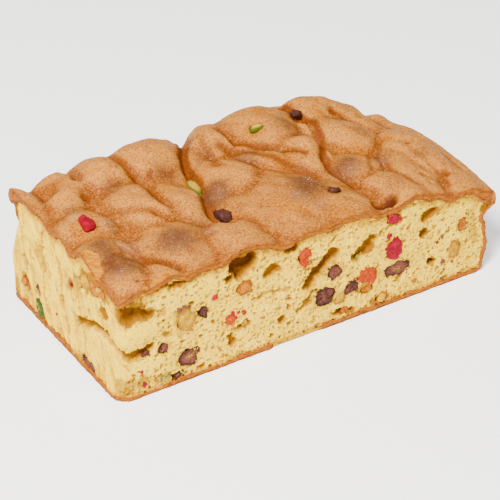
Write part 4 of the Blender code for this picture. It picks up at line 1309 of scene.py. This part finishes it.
def make_base_crust(settings):
    """The thin baked base: a band along the cuts, broken off for a stretch of the front."""
    front = np.arange(0.0, LENGTH, BAND_SPACING) / LENGTH
    left = 1.0 - np.arange(0.0, WIDTH, BAND_SPACING) / WIDTH
    right = np.arange(0.0, WIDTH, 3.0) / WIDTH
    back = 1.0 - np.arange(0.0, LENGTH, 3.0) / LENGTH
    u = np.concatenate((front, np.ones(len(right)), back, np.zeros(len(left))))
    v = np.concatenate((np.zeros(len(front)), right, np.ones(len(back)), left))
    place = np.where(v == 0.0, u * LENGTH, -v * WIDTH)
    on_cut = ((v == 0.0) | (u == 0.0)).astype(float)
    gone = on_cut * ease((place - BROKEN_FROM) / 1.8) * ease((BROKEN_TO - place) / 6.0)
    high = BAND_HEIGHT + 0.35 * wander(place, 0.0, 31.0, 2.0) + 0.3 * wander(place, 0.0, 7.0, 6.0)
    high += 0.22 * wander(place, 0.0, 2.6, 3.0) - 1.1 * np.exp(-((place / 8.0) ** 2))
    high = high * (1.0 - gone) + REMNANT_HEIGHT * gone
    proud = 0.5 + 0.25 * wander(place, 0.0, 4.3, 9.0) - 1.5 * gone
    rings, rows = [], BASE_ROWS
    for share in np.arange(rows + 1) / rows:
        x, y = plan_point(u, v, 0.02, proud=proud * (0.55 + 0.45 * math.sin(math.pi * share)), inset=0.9)
        rings.append(np.stack((x, y, high * share), axis=1))
    rings += [moved_inward(rings[rows], inset) for inset in (1.0, 2.4)]
    points, faces = closed_rings(rings)
    count = len(u)
    shares = np.minimum(np.arange(len(rings)) / rows, 1.0)
    finish_crust(
        "base_crust", points, faces, settings, 0.00015, 0.00015, 0.0009,
        torn=np.tile(on_cut, len(rings)), baked=np.tile(1.0 - on_cut, len(rings)),
        # under: partly dark crust, partly painted contact shadow towards the floor, and painted shadow where
        # the band broke off
        under=np.clip(np.repeat(ease(1.0 - shares / 0.5), count) + 0.9 * np.tile(gone, len(rings)), 0, 1),
        shown=np.repeat(np.where(shares > 0.0, 1.0, 0.0) * (np.arange(len(rings)) <= rows), count),
    )


# --- fruit -------------------------------------------------------------------------------------------


# For each kind: corner sharpness, crown as a share of depth, wrinkle size, wrinkle depth, lump depth.
FRUIT_FORMS = {
    "cherry": (0.30, 0.12, 0.0030, 0.00016, 0.0004),
    "papaya": (0.45, 0.10, 0.0026, 0.00025, 0.0005),
    "raisin": (0.20, 0.12, 0.0022, 0.00050, 0.0006),
    "lemon_peel": (0.45, 0.08, 0.0026, 0.00020, 0.0004),
    "orange_peel": (0.40, 0.08, 0.0024, 0.00030, 0.0005),
    "angelica": (0.45, 0.12, 0.0028, 0.00025, 0.0005),
}

# How light some pieces are within their kind, and how much crumb clings to their middle.
PIECE_LOOKS = {
    "raisin_left_large": (0.9, 0.36), "raisin_right": (0.8, 0.36), "peel_under_heart": (0.7, 0.2),
    "raisin_middle_large": (0.55, 0.0), "raisin_middle_upper": (0.9, 0.1), "raisin_middle_right": (0.25, 0.0),
    "plum_dark": (0.05, 0.0), "papaya_upper": (0.3, 0.1), "papaya_lower": (0.2, 0.2),
    "papaya_crumbled": (0.3, 0.36), "cherry_glossy": (0.45, 0.0), "cherry_top": (0.5, 0.1),
    "cherry_under_crust": (0.6, 0.15), "peel_in_hollow": (0.5, 0.12), "peel_yellow_end": (0.45, 0.0),
    "raisin_left_small": (0.9, 0.2), "raisin_left_end": (0.9, 0.25), "raisin_left_low": (0.4, 0.0),
    "raisin_side": (0.9, 0.3), "raisin_side_low": (0.6, 0.3), "peel_side_back": (0.1, 0.3),
    "angelica_top": (1.0, 0.35), "angelica_top_back": (1.0, 0.5), "raisin_top_right": (0.1, 0.0),
    "raisin_top_left": (0.05, 0.0), "raisin_top_back": (0.0, 0.0), "angelica_side": (0.0, 0.0),
}


def fruit_tree(material, name):
    wiring, start, end = geometry_tree(name, {
        "Wrinkle size": 0.002, "Wrinkle depth": 0.0004, "Lump depth": 0.0006})
    position = wiring.position()
    folds = wiring.noise(position, wiring.math("DIVIDE", 1.0, start["Wrinkle size"]), 3.0, 0.6)
    ridge = wiring.math("ABSOLUTE", wiring.math("SUBTRACT", folds, 0.5))
    wrinkle = wiring.times(wiring.ramp(ridge, 0.0, 0.14, -1.0, 0.3), start["Wrinkle depth"])
    lumps = wiring.times(wiring.sway(position, 260.0, 2.0, 0.5), start["Lump depth"])
    offset = wiring.scaled(wiring.normal(), wiring.plus(wrinkle, lumps))
    return finish_tree(wiring, wiring.moved(start["Geometry"], offset), material, end)


def cushion(around_steps, down_steps, squareness):
    """A ball drawn towards a block, as rings of points from pole to pole, and its faces."""
    angle = np.linspace(0, 2 * math.pi, around_steps, endpoint=False)
    tilt = np.linspace(0, math.pi, down_steps + 1)[1:-1]
    ways = np.stack((
        np.outer(np.sin(tilt), np.cos(angle)), np.outer(np.sin(tilt), np.sin(angle)),
        np.repeat(np.cos(tilt)[:, None], around_steps, axis=1)), axis=-1).reshape(-1, 3)
    ways = np.concatenate((ways, ((0, 0, 1), (0, 0, -1))))
    ways = ways / np.abs(ways).max(axis=1)[:, None] ** squareness
    faces = ring_faces(0, around_steps, down_steps - 1).tolist()
    top, bottom = len(ways) - 2, len(ways) - 1
    upper, upper_after = around(0, around_steps)
    lower, lower_after = around((down_steps - 2) * around_steps, around_steps)
    faces += [[top, here, after] for here, after in zip(upper.tolist(), upper_after.tolist())]
    faces += [[bottom, after, here] for here, after in zip(lower.tolist(), lower_after.tolist())]
    return ways, faces


def make_fruit(name, kind, facing, tree):
    """One piece of fruit, set in its face: a lumpy cushion with an uneven outline and a low crown."""
    squareness, crown, wrinkle_size, wrinkle_depth, lump_depth = FRUIT_FORMS[kind]
    tone, crumbed = PIECE_LOOKS.get(name, (0.5, 0.0))
    middle, half = box_on_block(name)
    ways, faces = cushion(*(LARGE_STEPS if max(half) > LARGE_FRUIT else SMALL_STEPS), squareness)
    seed = sum(ord(letter) for letter in name) * 0.37
    turn = np.arctan2(ways[:, 1], ways[:, 0])
    uneven = 1 + 0.09 * np.sin(2 * turn + seed) + 0.07 * np.sin(3 * turn + 2.1 * seed)
    uneven += 0.04 * np.sin(5 * turn + seed * 3.3)
    out = np.hypot(ways[:, 0], ways[:, 1])
    if facing == "front":
        axes, size = np.array(((1, 0, 0), (0, 0, 1), (0, -1, 0))), (half[0], half[2], half[1] * 2)
        base = (middle[0], CUT_SINK, middle[2])
    elif facing == "left":
        axes, size = np.array(((0, -1, 0), (0, 0, 1), (-1, 0, 0))), (half[1], half[2], half[0] * 2)
        base = (CUT_SINK - LEFT_FOOT_BOW * (1.0 - middle[2] / MEAN_HEIGHT) ** 2, middle[1], middle[2])
    else:
        axes, size = np.eye(3), half
        base = (middle[0], middle[1], middle[2] - half[2] * TOP_SINK)
        crown = TOP_CROWN
    rise = np.where(ways[:, 2] > 0, ways[:, 2] * crown, ways[:, 2])
    wide = FRUIT_FULLNESS * uneven
    local = np.stack((ways[:, 0] * wide, ways[:, 1] * wide, rise), axis=1) * size
    fields = {
        "rim": np.where(ways[:, 2] > -0.3, out, 1.0), "tone": np.full(len(ways), tone),
        "crumbed": crumbed * np.clip(1.25 - out, 0, 1),
    }
    made = new_object(name + "_fruit", to_frame(np.array(base) + local @ axes), faces, fields)
    run_tree(made, tree, {
        "Wrinkle size": wrinkle_size, "Wrinkle depth": wrinkle_depth, "Lump depth": lump_depth})
    settle(made, kind, name)


def make_fruit_of(*kinds):
    facings = fruit_facings()
    slots = {row["node"]: row["material_slot"] for row in frame["record"]["subparts"]}
    for kind in kinds:
        tree = fruit_tree(fruit_finish(kind), kind + " skin")
        names = sorted(name for name, slot in slots.items() if slot == kind and name in facings)
        if not names:
            raise RuntimeError(f"the packed model has no {kind}")
        for name in names:
            make_fruit(name, kind, facings[name], tree)


# --- flecks and loose crumbs -------------------------------------------------------------------------


def cut_place(s, z):
    """Where a place on the cuts is on the block."""
    u, v = np.where(s > 0.0, s / LENGTH, 0.0), np.where(s > 0.0, 0.0, -s / WIDTH)
    x, y = plan_point(u, v, z / MEAN_HEIGHT)
    return np.stack((x, y, z), axis=1)


def fleck_tree(material, name):
    """A lumpy fleck on every point, of the point's own size, pressed flat against the cut."""
    wiring, start, end = geometry_tree(name, {"Thickness": 0.55, "Unevenness": 0.3})
    ball = wiring.add("GeometryNodeMeshIcoSphere", {"Radius": 1.1, "Subdivisions": 3}).outputs[0]
    size = wiring.named("size")
    flat = wiring.add("ShaderNodeCombineXYZ", {0: 1.0, 1: 0.75, 2: start["Thickness"]}).outputs[0]
    inward = wiring.named("inward", "FLOAT_VECTOR")
    align = wiring.add("FunctionNodeAlignRotationToVector", {"Vector": inward}, axis="Z").outputs[0]
    feeds = {"Axis": (0.0, 0.0, 1.0), "Angle": wiring.random(0.0, 6.28, 3)}
    about = wiring.add("FunctionNodeAxisAngleToRotation", feeds).outputs[0]
    turn = wiring.add("FunctionNodeRotateRotation", {0: align, 1: about}, rotation_space="LOCAL").outputs[0]
    flecks = wiring.strewn(start["Geometry"], ball, turn, wiring.scaled(flat, size))
    uneven = wiring.jitter(wiring.position(), 700.0, wiring.times(start["Unevenness"], size))
    return finish_tree(wiring, wiring.moved(flecks, uneven), material, end)


def make_flecks(name, slot, spots):
    """Small bits of fruit at their places on the cuts, resting on the crumb or on a hole's floor."""
    s, z, size = np.array(spots, float).T
    inward = way_inward(s)
    floor = hollow_depth(s, z) * FLECK_FLOOR_SHARE + FLECK_SINK
    depth = floor - FLECK_STAND * np.minimum(size, FLECK_STAND_LIMIT)
    fields = {"size": size * MM, "inward": inward, "tone": np.full(len(s), 0.6)}
    made = new_object(name, to_frame(cut_place(s, z) + inward * depth[:, None]), [], fields)
    run_tree(made, fleck_tree(fruit_finish(slot), name), {"Thickness": 0.5, "Unevenness": 0.34})
    settle(made, slot)


def scatter_tree(material, name):
    """Grains strewn over a surface where its field allows, each turned and sized at random."""
    wiring, start, end = geometry_tree(name, {"Density": 30000.0, "Size": 0.0006, "Seed": 4.0})
    density = wiring.times(wiring.named("strewn"), start["Density"])
    feeds = {"Mesh": start["Geometry"], "Density": density, "Seed": start["Seed"]}
    points = wiring.add("GeometryNodeDistributePointsOnFaces", feeds).outputs[0]
    grain = wiring.add("GeometryNodeMeshIcoSphere", {"Radius": 0.5, "Subdivisions": 1}).outputs[0]
    spin = wiring.random((0.0, 0.0, 0.0), (6.28, 6.28, 6.28), 5)
    spread = wiring.random((0.5, 0.5, 0.4), (1.5, 1.2, 0.9), 9)
    grains = wiring.strewn(points, grain, spin, wiring.scaled(spread, start["Size"]))
    uneven = wiring.jitter(wiring.position(), 1500.0, wiring.times(start["Size"], 0.3))
    return finish_tree(wiring, wiring.moved(grains, uneven), material, end)


def strew(name, slot, under, field, material, density, size, seed):
    """Strews grains over a finished piece, more where its field is stronger."""
    bed = bpy.data.objects[under].data
    made = new_object(name, np.zeros((1, 3)), [], {})
    made.data = bed.copy()
    values = np.zeros(len(bed.vertices), np.float32)
    bed.attributes[field].data.foreach_get("value", values)
    layer = made.data.attributes.new("strewn", "FLOAT", "POINT")
    layer.data.foreach_set("value", np.clip(values, 0.0, 1.0))
    made.data.materials.clear()
    run_tree(made, scatter_tree(material, name), {"Density": density, "Size": size, "Seed": float(seed)})
    settle(made, slot)


# --- stage -------------------------------------------------------------------------------------------


def soft_light(name, place, width, power):
    light = bpy.data.lights.new(name, "AREA")
    light.shape, light.size, light.energy, light.color = "DISK", width, power, (1.0, 0.97, 0.92)
    lamp = in_scene(name, light)
    lamp.location = place
    lamp.rotation_euler = (Vector((0, 0, 0.03)) - Vector(place)).to_track_quat("-Z", "Y").to_euler()


def make_stage(settings):
    reach = 4.0
    corners = [(-reach, -reach, 0), (reach, -reach, 0), (reach, reach, 0), (-reach, reach, 0)]
    floor = in_scene("floor", bpy.data.meshes.new("floor"))
    floor.data.from_pydata(corners, [], [(0, 1, 2, 3)])
    material, wiring, shader = new_material("pale floor", 0.9, 0.2)
    white = (1.0, 1.0, 1.0, 1.0)
    wiring.feed(shader, {
        "Base Color": (0.95, 0.95, 0.95, 1.0), "Emission Color": white, "Emission Strength": 0.6})
    floor.data.materials.append(material)

    world = bpy.data.worlds.new("soft room")
    world.use_nodes = True
    Wiring(world.node_tree).feed(world.node_tree.nodes["Background"], {"Color": white, "Strength": 0.5})
    bpy.context.scene.world = world
    soft_light("key", (-0.85, -0.6, 1.3), 0.5, 95.0)
    soft_light("fill", (0.6, -1.6, 0.8), 1.2, 14.0)

    camera = bpy.data.cameras.new("camera")
    camera.lens, camera.sensor_width, camera.clip_start = settings.lens, 36.0, 0.01
    target = Vector(to_frame((92.3, 38.5, 30.0)))
    a, e = settings.azimuth, settings.elevation
    back = Vector((math.sin(a) * math.cos(e), -math.cos(a) * math.cos(e), math.sin(e)))
    seat = in_scene("camera", camera)
    seat.location = target + back * settings.distance
    seat.rotation_euler = back.to_track_quat("Z", "Y").to_euler()
    bpy.context.scene.camera = seat


# --- operators ---------------------------------------------------------------------------------------


class FRUITCAKE_OT_stage(bpy.types.Operator):
    """Sets the floor, the lights and the camera"""

    bl_idname = "fruitcake.stage"
    bl_label = "Stage"

    def execute(self, context):
        make_stage(context.scene.fruitcake_stage)
        return {"FINISHED"}


class FRUITCAKE_OT_crumb(bpy.types.Operator):
    """Makes the airy crumb of the two cut faces"""

    bl_idname = "fruitcake.crumb"
    bl_label = "Crumb"

    def execute(self, context):
        make_crumb(context.scene.fruitcake_crumb)
        return {"FINISHED"}


class FRUITCAKE_OT_top_crust(bpy.types.Operator):
    """Makes the folded top crust with its torn edge and its lip"""

    bl_idname = "fruitcake.top_crust"
    bl_label = "Top crust"

    def execute(self, context):
        make_top_crust(context.scene.fruitcake_crust)
        return {"FINISHED"}


class FRUITCAKE_OT_side_crust(bpy.types.Operator):
    """Makes the two baked sides"""

    bl_idname = "fruitcake.side_crust"
    bl_label = "Baked sides"

    def execute(self, context):
        make_side_crust(context.scene.fruitcake_crust)
        return {"FINISHED"}


class FRUITCAKE_OT_base_crust(bpy.types.Operator):
    """Makes the thin baked base"""

    bl_idname = "fruitcake.base_crust"
    bl_label = "Base"

    def execute(self, context):
        make_base_crust(context.scene.fruitcake_crust)
        return {"FINISHED"}


class FRUITCAKE_OT_raisins(bpy.types.Operator):
    """Makes the raisins"""

    bl_idname = "fruitcake.raisins"
    bl_label = "Raisins"

    def execute(self, context):
        make_fruit_of("raisin")
        return {"FINISHED"}


class FRUITCAKE_OT_candied(bpy.types.Operator):
    """Makes the cherries, papaya, peel and angelica"""

    bl_idname = "fruitcake.candied"
    bl_label = "Candied fruit"

    def execute(self, context):
        make_fruit_of("cherry", "papaya", "lemon_peel", "orange_peel", "angelica")
        return {"FINISHED"}


class FRUITCAKE_OT_flecks(bpy.types.Operator):
    """Makes the small bits of fruit in the cut faces"""

    bl_idname = "fruitcake.flecks"
    bl_label = "Flecks of fruit"

    def execute(self, context):
        for name, (slot, spots) in FLECKS.items():
            make_flecks(name, slot, spots)
        return {"FINISHED"}


class FRUITCAKE_OT_crumbs(bpy.types.Operator):
    """Strews loose crumbs over the cut faces and sugar over the crust"""

    bl_idname = "fruitcake.crumbs"
    bl_label = "Loose crumbs and sugar"

    def execute(self, context):
        bits = context.scene.fruitcake_bits
        crumbs = plain_grain_finish("loose crumbs", (0.76, 0.50, 0.015), (0.55, 0.31, 0.006), 0.8)
        sugar = plain_grain_finish("sugar", (0.80, 0.66, 0.52), (0.60, 0.44, 0.30), 0.35)
        for name, slot, under, field, finish, density, size in (
            ("loose_crumbs", "crumb", "crumb", "loose", crumbs, bits.crumb_density, bits.crumb_size),
            ("sugar_grains", "crust", "top_crust", "sugar", sugar, bits.sugar_density, bits.sugar_size),
        ):
            strew(name, slot, under, field, finish, density, size, bits.seed)
        return {"FINISHED"}


class FRUITCAKE_PT_panel(bpy.types.Panel):
    """Lists the steps that make the cake"""

    bl_idname = "FRUITCAKE_PT_panel"
    bl_label = "Fruit cake loaf"
    bl_space_type = "VIEW_3D"
    bl_region_type = "UI"
    bl_category = "Fruit Cake"

    def draw(self, context):
        for step in STEPS:
            self.layout.operator(step.bl_idname)


STEPS = (
    FRUITCAKE_OT_stage,
    FRUITCAKE_OT_crumb,
    FRUITCAKE_OT_top_crust,
    FRUITCAKE_OT_side_crust,
    FRUITCAKE_OT_base_crust,
    FRUITCAKE_OT_raisins,
    FRUITCAKE_OT_candied,
    FRUITCAKE_OT_flecks,
    FRUITCAKE_OT_crumbs,
)
SETTINGS = {
    "fruitcake_crumb": FRUITCAKE_PG_crumb,
    "fruitcake_crust": FRUITCAKE_PG_crust,
    "fruitcake_bits": FRUITCAKE_PG_bits,
    "fruitcake_stage": FRUITCAKE_PG_stage,
}


def register():
    for name, group in SETTINGS.items():
        bpy.utils.register_class(group)
        setattr(bpy.types.Scene, name, bpy.props.PointerProperty(type=group))
    for cls in (*STEPS, FRUITCAKE_PT_panel):
        bpy.utils.register_class(cls)


def unregister():
    for cls in (*STEPS, FRUITCAKE_PT_panel):
        bpy.utils.unregister_class(cls)
    for name, group in SETTINGS.items():
        delattr(bpy.types.Scene, name)
        bpy.utils.unregister_class(group)


def main():
    register()
    bpy.ops.fruitcake.stage()
    bpy.ops.fruitcake.crumb()
    bpy.ops.fruitcake.top_crust()
    bpy.ops.fruitcake.side_crust()
    bpy.ops.fruitcake.base_crust()
    bpy.ops.fruitcake.raisins()
    bpy.ops.fruitcake.candied()
    bpy.ops.fruitcake.flecks()
    bpy.ops.fruitcake.crumbs()


if __name__ == "__main__":
    main()
